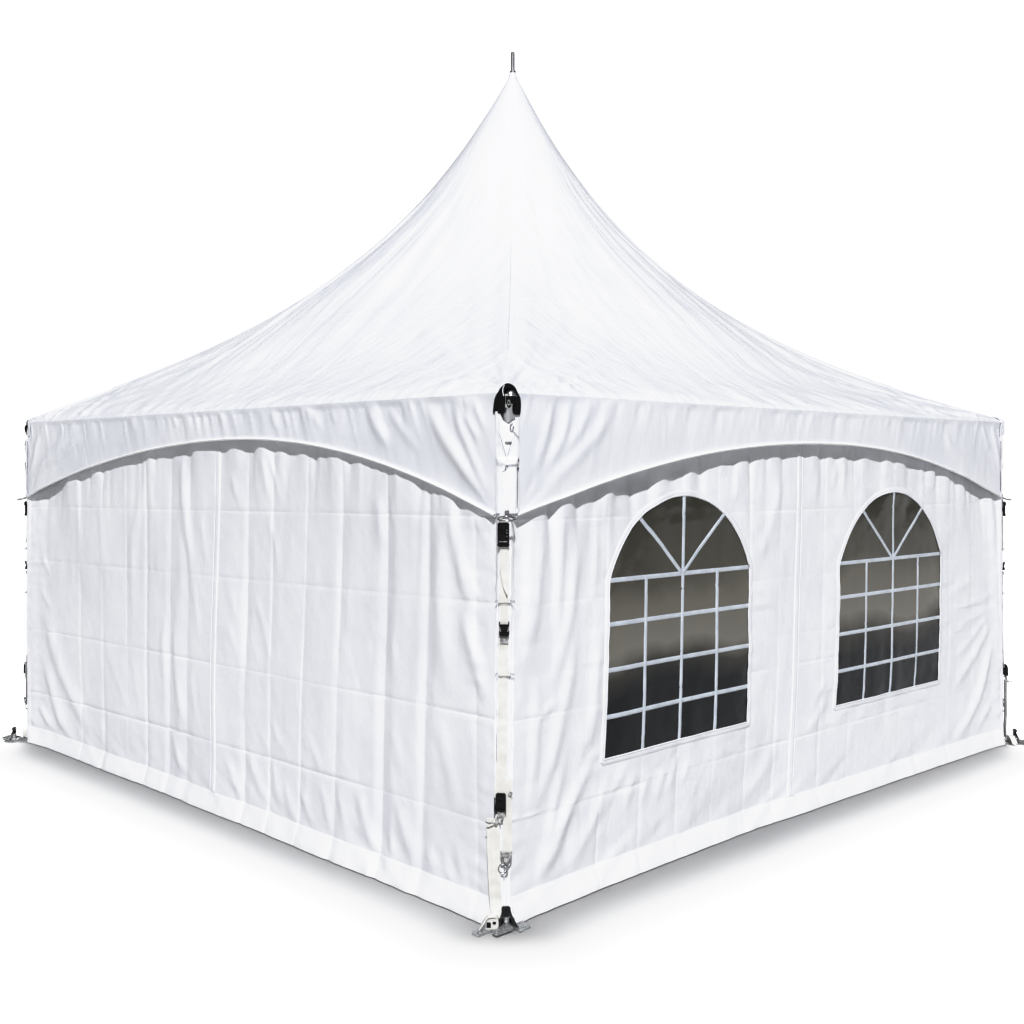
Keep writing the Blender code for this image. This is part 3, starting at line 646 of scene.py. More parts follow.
WALL_FOLDS = {
    # width, height and a route, as for the valances
    "left": [
        (0.03, 0.006, 1.43, 1.7, 1.47, 1.5, 1.49, 1.4), (0.02, 0.004, 1.53, 1.78, 1.56, 1.5),
        (0.036, 0.013, 1.93, 1.7, 1.97, 1.48, 2.05, 1.28, 2.1, 1.18),
        (0.036, 0.014, 2.02, 1.24, 2.1, 1.02, 2.2, 0.8),
        (0.045, 0.009, 1.85, 1.64, 1.86, 1.3, 1.9, 1.0, 1.99, 0.82), (0.015, 0.004, 2.1, 1.6, 2.17, 1.48),
        (0.012, 0.003, 2.05, 1.38, 2.15, 1.24), (0.018, 0.004, 2.08, 1.12, 2.16, 0.98),
        (0.03, 0.004, 1.55, 1.1, 1.58, 0.85), (0.04, 0.006, 1.88, 0.76, 1.97, 0.5, 2.04, 0.36),
        (0.03, 0.0035, 1.58, 0.66, 1.66, 0.47), (0.035, 0.0095, 1.32, 0.36, 1.4, 0.2, 1.5, 0.09),
        (0.035, 0.007, 1.62, 0.34, 1.69, 0.2, 1.77, 0.1), (0.03, 0.0045, 0.6, 0.35, 0.71, 0.13),
        (0.03, 0.006, 0.72, 0.25, 0.85, 0.1), (0.03, 0.006, 0.18, 0.3, 0.34, 0.1),
        (0.035, 0.007, 0.38, 0.37, 0.49, 0.21, 0.61, 0.1), (0.025, 0.006, 0.88, 0.26, 0.99, 0.1),
        (0.022, 0.0045, 1.05, 0.33, 1.13, 0.13), (0.022, 0.0045, 1.18, 0.35, 1.27, 0.1),
        (0.025, 0.0035, 0.6, 0.56, 0.74, 0.39), (0.025, 0.0035, 0.48, 0.5, 0.61, 0.38),
        (0.025, 0.0035, 0.94, 0.52, 1.06, 0.38), (0.009, 0.0022, 1.19, 0.53, 1.29, 0.4),
        (0.025, 0.0055, 0.2, 1.78, 0.29, 1.6), (0.022, 0.0065, 0.5, 1.88, 0.57, 1.62),
        (0.012, 0.0055, 0.55, 1.89, 0.67, 1.63), (0.025, 0.0045, 0.54, 1.6, 0.62, 1.42, 0.66, 1.27),
        (0.025, 0.0045, 0.44, 1.18, 0.55, 0.96, 0.61, 0.8), (0.025, 0.0035, 0.2, 1.18, 0.31, 0.97),
        (0.025, 0.0035, 0.19, 1.0, 0.31, 0.81), (0.02, 0.003, 0.41, 0.95, 0.51, 0.8),
        (0.016, 0.0055, 1.57, 0.22, 1.62, 0.1), (0.016, 0.005, 1.84, 0.24, 1.88, 0.1),
        (0.016, 0.005, 1.94, 0.22, 1.99, 0.1), (0.016, 0.005, 2.03, 0.24, 2.08, 0.1),
        (0.042, 0.015, -0.33, 1.9, -0.28, 1.62, -0.22, 1.35, -0.19, 1.08),
        (0.03, 0.0045, -0.11, 1.56, -0.03, 1.28), (0.03, 0.006, -0.51, 0.94, -0.48, 0.5),
        (0.035, 0.008, -0.38, 1.06, -0.36, 0.7, -0.3, 0.5, -0.23, 0.32),
        (0.025, 0.0035, -0.18, 0.72, -0.11, 0.4), (0.025, 0.0035, -0.15, 1.18, -0.08, 0.87),
        (0.035, 0.007, -0.4, 0.34, -0.27, 0.11),
        (0.06, 0.016, -2.1, 0.89, -1.99, 0.77, -1.91, 0.62, -1.8, 0.47, -1.62, 0.31, -1.38, 0.1),
        (0.05, 0.016, -2.08, 0.55, -1.98, 0.42, -1.91, 0.28, -1.83, 0.18, -1.68, 0.09),
        (0.03, 0.011, -2.13, 0.24, -1.96, 0.11), (0.024, 0.007, -2.08, 1.22, -1.97, 1.11),
        (0.024, 0.007, -2.08, 1.0, -1.93, 0.88), (0.05, 0.005, -1.99, 1.56, -1.98, 1.26),
        (0.035, 0.004, -1.2, 0.76, -1.06, 0.56, -0.95, 0.42, -0.82, 0.31),
        (0.03, 0.004, -0.89, 0.72, -0.82, 0.6, -0.79, 0.42),
        (0.03, 0.005, -1.57, 1.62, -1.54, 1.38, -1.51, 1.05),
        (0.035, 0.0055, -1.27, 1.72, -1.25, 1.4, -1.22, 1.06),
        (0.045, 0.008, -0.71, 1.8, -0.8, 1.58, -0.87, 1.42, -0.88, 1.2, -0.85, 0.84),
    ],
    "front": [
        (0.034, 0.013, 2.05, 1.64, 2.06, 1.45, 2.1, 1.2, 2.16, 0.96),
        (0.034, 0.012, 1.8, 1.66, 1.83, 1.42, 1.88, 1.2, 1.96, 0.98, 2.03, 0.84),
        (0.014, 0.006, 1.98, 0.84, 2.13, 0.75),
        (0.034, 0.011, 1.84, 1.17, 1.88, 0.95, 1.95, 0.75, 2.01, 0.58, 2.08, 0.47, 2.16, 0.32),
        (0.03, 0.009, 1.72, 0.59, 1.84, 0.44, 1.95, 0.33, 2.06, 0.2),
        (0.034, 0.014, 1.87, 0.42, 1.99, 0.22, 2.13, 0.09),
        (0.03, 0.008, 1.61, 0.48, 1.76, 0.25, 1.94, 0.1), (0.025, 0.006, 1.52, 0.48, 1.6, 0.4, 1.71, 0.27),
        (0.02, 0.0055, 1.46, 0.45, 1.54, 0.27), (0.02, 0.0055, 1.35, 0.44, 1.41, 0.29),
        (0.02, 0.005, 1.23, 0.44, 1.3, 0.28), (0.02, 0.0055, 1.13, 0.47, 1.22, 0.29),
        (0.018, 0.0045, 1.05, 0.43, 1.12, 0.3), (0.007, 0.003, 0.88, 0.44, 1.0, 0.3, 1.14, 0.15),
        (0.04, 0.0055, 0.28, 0.37, 0.45, 0.22, 0.63, 0.13),
        (0.035, 0.008, 0.26, 1.78, 0.31, 1.6, 0.38, 1.46, 0.45, 1.36),
        (0.022, 0.0065, 0.65, 1.79, 0.68, 1.62), (0.025, 0.0065, -0.27, 1.82, -0.24, 1.67),
        (0.02, 0.006, -0.36, 1.85, -0.33, 1.65), (0.03, 0.005, -0.1, 1.79, -0.03, 1.6),
        (0.025, 0.0055, -0.18, 0.57, -0.05, 0.46, 0.04, 0.39), (0.02, 0.0045, -0.16, 0.67, -0.01, 0.55),
        (0.02, 0.0055, -2.22, 1.0, -2.0, 0.95, -1.8, 0.93, -1.53, 0.9),
        (0.022, 0.007, -2.18, 0.89, -1.95, 0.86, -1.75, 0.82, -1.53, 0.75),
        (0.026, 0.008, -2.17, 0.86, -2.0, 0.8, -1.85, 0.72, -1.7, 0.65, -1.52, 0.59),
        (0.034, 0.013, -2.14, 0.82, -2.0, 0.7, -1.9, 0.62, -1.75, 0.52, -1.57, 0.39),
        (0.04, 0.016, -2.17, 0.72, -2.08, 0.57, -2.02, 0.44, -1.93, 0.31, -1.8, 0.2, -1.61, 0.08),
        (0.025, 0.008, -2.13, 0.29, -2.0, 0.19, -1.91, 0.1),
        (0.03, 0.0055, -1.93, 1.09, -1.75, 1.06, -1.6, 1.02, -1.5, 0.98),
        (0.035, 0.011, -2.16, 1.66, -2.17, 1.45, -2.17, 1.24),
        (0.022, 0.009, 1.93, 1.66, 1.95, 1.35, 1.98, 1.05), (0.02, 0.008, 2.12, 1.6, 2.14, 1.3, 2.17, 1.0),
        (0.02, 0.008, 1.69, 1.7, 1.71, 1.45, 1.74, 1.2), (0.026, 0.009, 2.09, 0.95, 2.12, 0.6, 2.16, 0.35),
        (0.024, 0.008, 1.93, 0.62, 2.0, 0.38, 2.08, 0.16),
        (0.028, 0.008, 1.7, 1.1, 1.73, 0.82, 1.79, 0.58),
    ],
}
FOOT_OUT = {
    # places towards the near corner, and how much further out than its line the foot stands there
    "left": ([-2.2, -1.9, -0.6, 0.4, 1.3, 2.0, 2.2],
             [-0.01, -0.018, -0.014, 0.015, 0.033, 0.054, 0.07]),
    "front": ([-2.2, -1.9, -0.8, 0.4, 1.1, 1.6, 2.0, 2.2],
              [0.012, 0.002, -0.016, -0.04, -0.021, -0.006, 0.014, 0.03]),
}
WALL_HELD_OUT = {
    # places towards the near corner, and how far the top of the wall bellies out there
    "left": ([-2.2, -2.0, -1.7, -0.5, 0.5, 1.1, 1.6, 2.1, 2.2],
             [0.004, -0.008, 0.018, 0.015, 0.014, 0.02, 0.032, 0.022, 0.006]),
    "front": ([-2.2, -2.0, -1.8, -0.9, -0.1, 0.3, 0.7, 1.0, 1.6, 1.9, 2.1, 2.2],
              [0.002, -0.01, 0.006, 0.01, -0.008, 0.003, -0.009, -0.02, -0.006, 0.016, 0.02, 0.006]),
}
WINDOW_RIMS = [(1.104, 1.1, 0.53, 0.56), (-0.858, 1.08, 0.58, 0.56)]    # middle, and half width and height
for patterns in (CREASES_UP, CREASES_ACROSS, WALL_FOLDS, FOOT_OUT, WALL_HELD_OUT):
    patterns["right"] = patterns["left"]
    patterns["back"] = patterns["front"]

WALL_VINYL = finish("white_wall_vinyl", (0.83, 0.84, 0.88), 0.45, sheen=(9.0, 0.38, 0.52))
shades(WALL_VINYL, speckle(WALL_VINYL, 2.2, 6.0), (0.838, 0.846, 0.885), (0.888, 0.895, 0.928))
wall_colour = shader_of(WALL_VINYL).inputs["Base Color"]
# The hem's colour is lighter: partly its doubled cloth, partly painted light, the light its splayed foot
# catches from above.
hem_lighter_painted_light = node(WALL_VINYL, "ShaderNodeMix", data_type="RGBA")    # the hem, doubled, lets less light by
hem_lighter_painted_light.inputs[7].default_value = (0.905, 0.911, 0.935, 1.0)
wall_links = WALL_VINYL.node_tree.links
wall_links.new(passed(WALL_VINYL, "Z", HEM_LINE + 0.002, HEM_LINE - 0.002), hem_lighter_painted_light.inputs[0])
wall_links.new(wall_colour.links[0].from_socket, hem_lighter_painted_light.inputs[6])
wall_links.new(hem_lighter_painted_light.outputs[2], wall_colour)
relief(WALL_VINYL, speckle(WALL_VINYL, 11.0, 5.0, kind="RIDGED_MULTIFRACTAL"), 0.0008, 0.5)
relief(WALL_VINYL, streaks(WALL_VINYL, 9.0, 2.0, 4.0, 5.0), 0.005)
relief(WALL_VINYL, streaks(WALL_VINYL, 9.0, 4.0, 4.0, -28.0), 0.0045)
relief(WALL_VINYL, speckle(WALL_VINYL, 24.0, 5.0, kind="RIDGED_MULTIFRACTAL", flat=True), 0.0006)
weave(WALL_VINYL)


def slanted(side, x, z):
    """Where a point is drawn to. Window walls hang askew, and all spread at the gathered end's foot."""
    u = to_corner(side, x)
    down = np.clip((WALL_TOP - z) / (WALL_TOP - HEM_Z), 0.0, 1.2)
    spread = FOOT_SPREAD * down ** 1.15 * share(u, 1.8, 2.2)
    askew = 0.0
    if side in WINDOW_SIDES:
        # the whole wall leans about its middle height, and the near window widens towards its sill
        askew = 0.058 * (z - 1.3) * share(np.abs(x), 2.15, 1.7)
        window = share(np.abs(u - 1.104), 0.95, 0.53) * np.clip((1.312 - z) / 0.764, 0.0, 1.2)
        askew = askew + (0.035 * np.clip(x + 1.104, -0.53, 0.53) + 0.011) * window
    return x + askew + to_corner(side, spread)


def wall_skin(side, x, z, proud=0.0):
    """A point of a wall with its creases and folds, from the place in the flat cloth.

    From the top: the long folds, the creases up and across, the scallops behind the valance, the ripples
    round the windows, soft waves, and how the hem splays.
    """
    seed = 40 + 10 * SIDES.index(side)
    u = to_corner(side, x)
    down = (WALL_TOP - z) / (WALL_TOP - HEM_Z)
    flare = np.interp(u, *FOOT_OUT[side]) * down ** 1.4
    drawn = to_corner(side, slanted(side, x, z))
    out = pleats(drawn, z, WALL_FOLDS[side])
    for top, foot, lit, shaded, deep in CREASES_UP[side]:
        across = u - (foot + (top - foot) * (z / CREASE_TOP))
        wave = 1.15 + 0.55 * bumps(z / 0.45 + 7 * top, 3 * top, seed + 1)
        out = out - deep * wave * np.maximum(0.0, 1 - np.abs(across) / np.where(across < 0, lit, shaded))
    for middle, rise, deep in CREASES_ACROSS[side]:
        above = z - middle - rise * u
        wave = 1.5 + 1.0 * bumps(u / 0.3, middle * 5, seed + 3)
        out = out - deep * wave * np.maximum(0.0, 1 - np.abs(above) / np.where(above < 0, 0.007, 0.013))
    hang = WALL_TOP - z
    below = np.maximum(0.0, arch_height(side, x) - 0.05 - z)
    scallops = 0.7 * bumps(u / 0.075, 0.2 * z, seed + 5) - folds(u / 0.13 + 0.25 * hang, 0.2 * z, seed + 4)
    swing = 0.01 + (0.012 if side in WINDOW_SIDES else 0.004) * share(u, 0.7, 1.7)
    out = out + swing * scallops * np.exp(-below / 0.15)
    out = out + np.interp(u, *WALL_HELD_OUT[side]) * share(hang, 0.0, 0.12) * np.exp(-below / 0.45)
    for place_u, place_z, wide, high in WINDOW_RIMS if side in WINDOW_SIDES else ():
        beside = np.maximum(0.0, np.abs(u - place_u) - 0.8 * wide)
        away = np.hypot(beside, np.maximum(0.0, np.abs(z - place_z) - 0.8 * high))
        turn = np.arctan2(z - place_z, u - place_u)
        outward = bumps(turn * 7.0, away / 0.25, seed + 11)
        level = bumps(u / 0.11 + z, z / 0.036, seed + 13)
        out = out + 0.0042 * outward * share(away, 0.06, 0.12) * share(away, 0.42, 0.15)
        out = out + 0.002 * level * share(away, 0.07, 0.12) * share(away, 0.4, 0.2)
    out = out + 0.006 * bumps(u / 0.55, z / 0.9, seed + 6) + 0.0022 * bumps(u / 0.1, z / 0.55, seed + 7)
    out = out + 0.0008 * bumps(u / 0.045, z / 0.06, seed + 8)
    at_end = share(np.abs(x), WALL_END - 0.26, WALL_END - 0.05)
    out = out + at_end * 0.0022 * folds(u / 0.14, z / 0.035, seed + 9)
    out = out + 0.0028 * bumps((u * 0.5 + z) / 0.055, (u - z) / 0.5, seed + 10) * share(z, 0.34, 0.12)
    out = out + 0.013 * share(-u, 2.08, 2.22)
    out = out + 0.03 * np.clip((HEM_LINE - z) / HEM_LINE, 0.0, 1.0) - 0.018 * share(z, 0.8, 0.12)
    out = out + 0.0016 * share(z, HEM_LINE, HEM_LINE - 0.004)
    out = out + 0.0014 * bumps(u / 0.035, 0.5, seed + 12) * share(z, 0.09, 0.03)
    out = out * share(hang, -0.01, 0.08) * share(z, -0.05, 0.02)
    return on_side(side, slanted(side, x, z), LEG_AT + WALL_FOOT_OUT * down + flare + out + proud, z)


def strip(name, middle, wide, lift, material, points_of):
    """A flat strip that lies on a cloth along a line of flat places, wide metres across."""
    along = np.gradient(middle, axis=0)
    left = unit(np.stack([-along[:, 1], along[:, 0]], axis=-1))
    lines = []
    for part, rise in ((-0.5, -0.0004), (-0.42, lift), (0.0, lift * 1.1), (0.42, lift), (0.5, -0.0004)):
        spot = middle + left * wide * part
        lines.append(points_of(spot[:, 0], spot[:, 1], rise))
    return hold(cloth(name, np.stack(lines, axis=1), material), "wall_vinyl")


def line(points, spacing=0.02):
    """Places along straight lines between points, spacing apart."""
    points = np.array(points, float)
    parts = []
    for start, end in zip(points[:-1], points[1:]):
        count = max(2, round(float(np.linalg.norm(end - start)) / spacing))
        parts.append(start + (end - start) * np.linspace(0.0, 1.0, count, endpoint=False)[:, None])
    return np.concatenate(parts + [points[-1:]])


WINDOWS = {
    # middle and half width in the flat cloth, sill, spring, height of the arch over it, and the bars
    "near": (-1.104, 0.53, 0.544, 1.312, 0.362, (1.121, 0.923, 0.722)),
    "far": (0.858, 0.577, 0.513, 1.283, 0.382, (1.097, 0.897, 0.697)),
}


def arch_radius(window):
    """Radius of the arch over a window."""
    half, rise = WINDOWS[window][1], WINDOWS[window][4]
    return (half ** 2 + rise ** 2) / (2 * rise)


def window_edge(window, grow=0.0):
    """The outline of a window in the flat cloth, from the sill's left end and round."""
    middle, half, sill, spring, rise = WINDOWS[window][:5]
    radius = arch_radius(window)
    turn = math.asin(half / radius)
    arc = np.linspace(turn, -turn, 41)
    over_z = spring + rise - radius + (radius + grow) * np.cos(arc)
    over = np.stack([middle + (radius + grow) * np.sin(arc), over_z], axis=-1)
    left, right, low = middle - half - grow, middle + half + grow, sill - grow
    before = line([(left, low), (right, low), (right, spring), over[0]])
    return np.concatenate([before, over, line([(left, spring), (left, low)])])


def in_window(window, x, z, grow):
    """Whether places of the flat cloth lie in a window made larger by grow."""
    middle, half, sill, spring, rise = WINDOWS[window][:5]
    radius = arch_radius(window)
    below = (np.abs(x - middle) < half + grow) & (z > sill - grow) & (z < spring + 0.001)
    above = (np.hypot(x - middle, z - spring - rise + radius) < radius + grow) & (z >= spring)
    return below | above


for number, side in enumerate(SIDES):
    seam_x = WALL_SEAM[side]
    fine_x = [to_corner(side, (crease[0] + crease[1]) / 2) for crease in CREASES_UP[side]]
    fine_z = [crease[0] for crease in CREASES_ACROSS[side]] + [HEM_LINE]
    ends = (SIDES[(number + 1) % 4], SIDES[number - 1])
    for half, (start, end) in zip(ends, ((-WALL_END, seam_x), (seam_x, WALL_END))):
        columns, rows = marks(start, end, WALL_GRID, fine_x), marks(WALL_TOP, 0.003, WALL_GRID, fine_z)
        grid_x, grid_z = np.meshgrid(columns, rows)
        # the grid leans and rises with the creases, so that each runs along its lines
        creases = np.array(sorted(CREASES_UP[side]))
        lean = np.interp(to_corner(side, grid_x), creases[:, :2].mean(axis=1), creases[:, 0] - creases[:, 1])
        inner = share(np.abs(grid_x - start), 0.0, 0.08) * share(np.abs(grid_x - end), 0.0, 0.08)
        grid_x = grid_x + to_corner(side, lean * (grid_z / CREASE_TOP - 0.5)) * inner
        rise = CREASES_ACROSS[side][0][1] * to_corner(side, grid_x)
        grid_z = grid_z + rise * share(grid_z, 0.12, 0.34) * share(grid_z, 2.0, 1.7)
        keep, window = None, None
        if side in WINDOW_SIDES:
            window = "near" if half == ends[0] else "far"
            centre_x, centre_z = ((grid[:-1, :-1] + grid[1:, 1:]) / 2 for grid in (grid_x, grid_z))
            keep = ~in_window(window, centre_x, centre_z, 0.01)
        name = side + "_" + half
        wall = cloth("wall_cloth_" + name, wall_skin(side, grid_x, grid_z), WALL_VINYL, keep,
                     (grid_x + 20.0, grid_z))
        hold(wall, "wall_vinyl", "wall_" + name)
        wide, long = abs(end - start), WALL_TOP - HEM_Z + 0.02
    for name, off, wide, lift in (("flap", 0.018, 0.052, 0.0022), ("fold", -0.004, 0.006, 0.004),
                                  ("lap", 0.036, 0.006, 0.004)):
        top, foot = seam_x + to_corner(side, off), seam_x + to_corner(side, off - 0.012)
        strip(f"wall_seam_{name}_{side}", line([(top, 2.04), (foot, 0.104)], 0.0155), wide, lift, WALL_VINYL,
              lambda x, z, rise: wall_skin(side, x, z, rise))


# Windows: panes of clear vinyl welded into the front and back walls behind a border strip, with
# white film bars printed on them. Their colour bands are painted: the dim inside seen through them and a
# reflection, and the vinyl shines.

PANE_PAINTED_VIEW = finish("window_vinyl_painted_view", (0.03, 0.032, 0.034), 0.1, specular=0.2, sheen=(5.0, 0.07, 0.2))
# painted view and reflection in bands: dark below, brightest at half its height and dark brown above, with
# soft uneven borders
pane_axes = node(PANE_PAINTED_VIEW, "ShaderNodeSeparateXYZ")
pane_drift = node(PANE_PAINTED_VIEW, "ShaderNodeMath", operation="MULTIPLY_ADD")
pane_drift.inputs[1].default_value = 0.32
pane_height = node(PANE_PAINTED_VIEW, "ShaderNodeMapRange")
pane_height.inputs["From Min"].default_value = 0.64
pane_height.inputs["From Max"].default_value = 1.84
pane_painted_view_ramp = node(PANE_PAINTED_VIEW, "ShaderNodeValToRGB")
for position, colour in ((0.0, (0.012, 0.014, 0.018)), (0.25, (0.013, 0.015, 0.019)),
                         (0.34, (0.058, 0.056, 0.05)), (0.43, (0.255, 0.244, 0.215)),
                         (0.58, (0.195, 0.184, 0.155)), (0.68, (0.105, 0.101, 0.085)),
                         (0.98, (0.085, 0.083, 0.072))):
    stop = pane_painted_view_ramp.color_ramp.elements.new(position)
    stop.color = (*colour, 1.0)
pane_painted_view_ramp.color_ramp.elements.remove(pane_painted_view_ramp.color_ramp.elements[-1])
pane_links = PANE_PAINTED_VIEW.node_tree.links
pane_links.new(place(PANE_PAINTED_VIEW), pane_axes.inputs["Vector"])
pane_links.new(speckle(PANE_PAINTED_VIEW, 1.7, 3.0), pane_drift.inputs[0])
pane_links.new(pane_axes.outputs["Z"], pane_drift.inputs[2])
pane_links.new(pane_drift.outputs["Value"], pane_height.inputs["Value"])
pane_links.new(pane_height.outputs["Result"], pane_painted_view_ramp.inputs["Fac"])
pane_links.new(pane_painted_view_ramp.outputs["Color"], shader_of(PANE_PAINTED_VIEW).inputs["Base Color"])
relief(PANE_PAINTED_VIEW, speckle(PANE_PAINTED_VIEW, 6.0, 3.0), 0.004, 0.5)

BAR_FILM = finish("white_bar_film", (0.62, 0.66, 0.72), 0.38,
                  tones=(14.0, (0.58, 0.62, 0.68), (0.68, 0.72, 0.78)), grain=(60.0, 0.0004))
LAP = 0.014             # how far the pane reaches past its opening behind the border
PANE_COLUMNS = 47
PANE_ROWS = 49


def pane_skin(side, window, x, z, proud=0.0):
    """A point of a pane, which keeps its own waves and puckers at its edges."""
    middle, half, sill = WINDOWS[window][:3]
    seed = 90 + 3 * SIDES.index(side)
    inset = np.minimum(np.minimum(x - middle + half, middle + half - x), z - sill)
    pucker = 0.0016 * bumps((x + z) / 0.03, (z - x) / 0.055, seed) * share(inset, 0.16, 0.0)
    wave = 0.002 * bumps(x / 0.3, z / 0.24, seed + 1)
    return wall_skin(side, x, z, proud - 0.0022 + (pucker + wave) * share(inset, -0.01, 0.03))


for side in WINDOW_SIDES:
    for window, half_name in (("near", "left"), ("far", "right")):
        middle, half, sill, spring, rise, bars = WINDOWS[window]
        name = side + "_" + (half_name if side == "front" else {"left": "right", "right": "left"}[half_name])
        radius = arch_radius(window)
        columns = middle + np.linspace(-half - LAP, half + LAP, PANE_COLUMNS)
        reach = np.clip(np.abs(columns - middle), 0.0, half)
        crown = spring + rise - radius + np.sqrt((radius + LAP) ** 2 - reach ** 2)
        grid_z = sill - LAP + (crown - sill + LAP) * np.linspace(0.0, 1.0, PANE_ROWS)[:, None]
        pane_points = pane_skin(side, window, columns[None, :], grid_z)
        pane = hold(cloth("window_pane_" + name, pane_points, PANE_PAINTED_VIEW), "window_vinyl", "window_" + name)
        for part, grow, wide, lift in (("border", 0.013, 0.031, 0.0014), ("weld", 0.0025, 0.007, 0.0024)):
            strip(f"window_{part}_{name}", window_edge(window, grow), wide, lift, WALL_VINYL,
                  lambda x, z, rise: wall_skin(side, x, z, rise + 0.0006))
        # bars: one at the spring of the arch, those below it, two upright ones, the middle one and two rays
        routes = [((middle - half, level), (middle + half, level)) for level in (spring, *bars)]
        routes += [((middle + part * half, sill), (middle + part * half, spring)) for part in (-0.51, 0.51)]
        routes += [((middle, sill), (middle, spring + rise))]
        run, climb = 0.315 * half / 0.53, 0.268 * rise / 0.362
        routes += [((middle - 0.004, spring), (middle + lean * run, spring + climb)) for lean in (-1, 1)]
        for number, route in enumerate(routes):
            lift = 0.0008 + 0.0001 * number
            strip(f"window_bar_{name}_{number}", line(route, 0.012), 0.021, lift, BAR_FILM,
                              lambda x, z, rise: pane_skin(side, window, x, z, rise + 0.0008))


# Corner posts: white steel tubes with a bright cap on the head. Round each top goes a moulded hood,
# black at the front left corner and white at the rest, over a padded sleeve that a band ties on.

WHITE_PAINT = finish("white_tube_paint", (0.8, 0.8, 0.79), 0.35, coat=0.2,
                     sheen=(30.0, 0.28, 0.45), grain=(130.0, 0.0003))
shades(WHITE_PAINT, speckle(WHITE_PAINT, 6.0, 6.0), (0.74, 0.74, 0.72), (0.84, 0.84, 0.83), 0.3, 0.6)

ZINC = finish("zinc_plated_steel", (0.36, 0.36, 0.35), 0.3, metallic=1.0, sheen=(90.0, 0.2, 0.4),
              tones=(70.0, (0.22, 0.22, 0.23), (0.52, 0.52, 0.524)), grain=(300.0, 0.0002))

HOOD_RUBBER = finish("black_hood_rubber", (0.006, 0.006, 0.007), 0.55, specular=0.25,
                     tones=(30.0, (0.004, 0.004, 0.005), (0.01, 0.01, 0.012)), sheen=(60.0, 0.45, 0.65))
relief(HOOD_RUBBER, speckle(HOOD_RUBBER, 180.0, 6.0), 0.0006)

for corner in CORNERS:
    paint("leg_" + corner, WHITE_PAINT)


def corner_place(corner):
    """Where a post stands: it turns metres to the right, outward and up into the tent's own."""
    turn = Matrix.Rotation(-CORNERS.index(corner) * math.pi / 2, 4, "Z")
    post = Matrix.Translation((-LEG_AT, -LEG_AT, 0.0)) @ Matrix.Rotation(-math.pi / 4, 4, "Z")
    return turn @ post @ Matrix.Diagonal((1.0, -1.0, 1.0, 1.0))


def smooth(points, count):
    """Points spaced evenly along a soft curve through the given ones."""
    points = np.array(points, float)
    done = np.concatenate([[0.0], np.cumsum(np.linalg.norm(np.diff(points, axis=0), axis=1))])
    at = np.linspace(0.0, done[-1], count)
    curve = np.stack([np.interp(at, done, points[:, axis]) for axis in range(points.shape[1])], axis=-1)
    for _ in range(3):
        curve[1:-1] = (curve[:-2] + 2 * curve[1:-1] + curve[2:]) / 4
    return curve


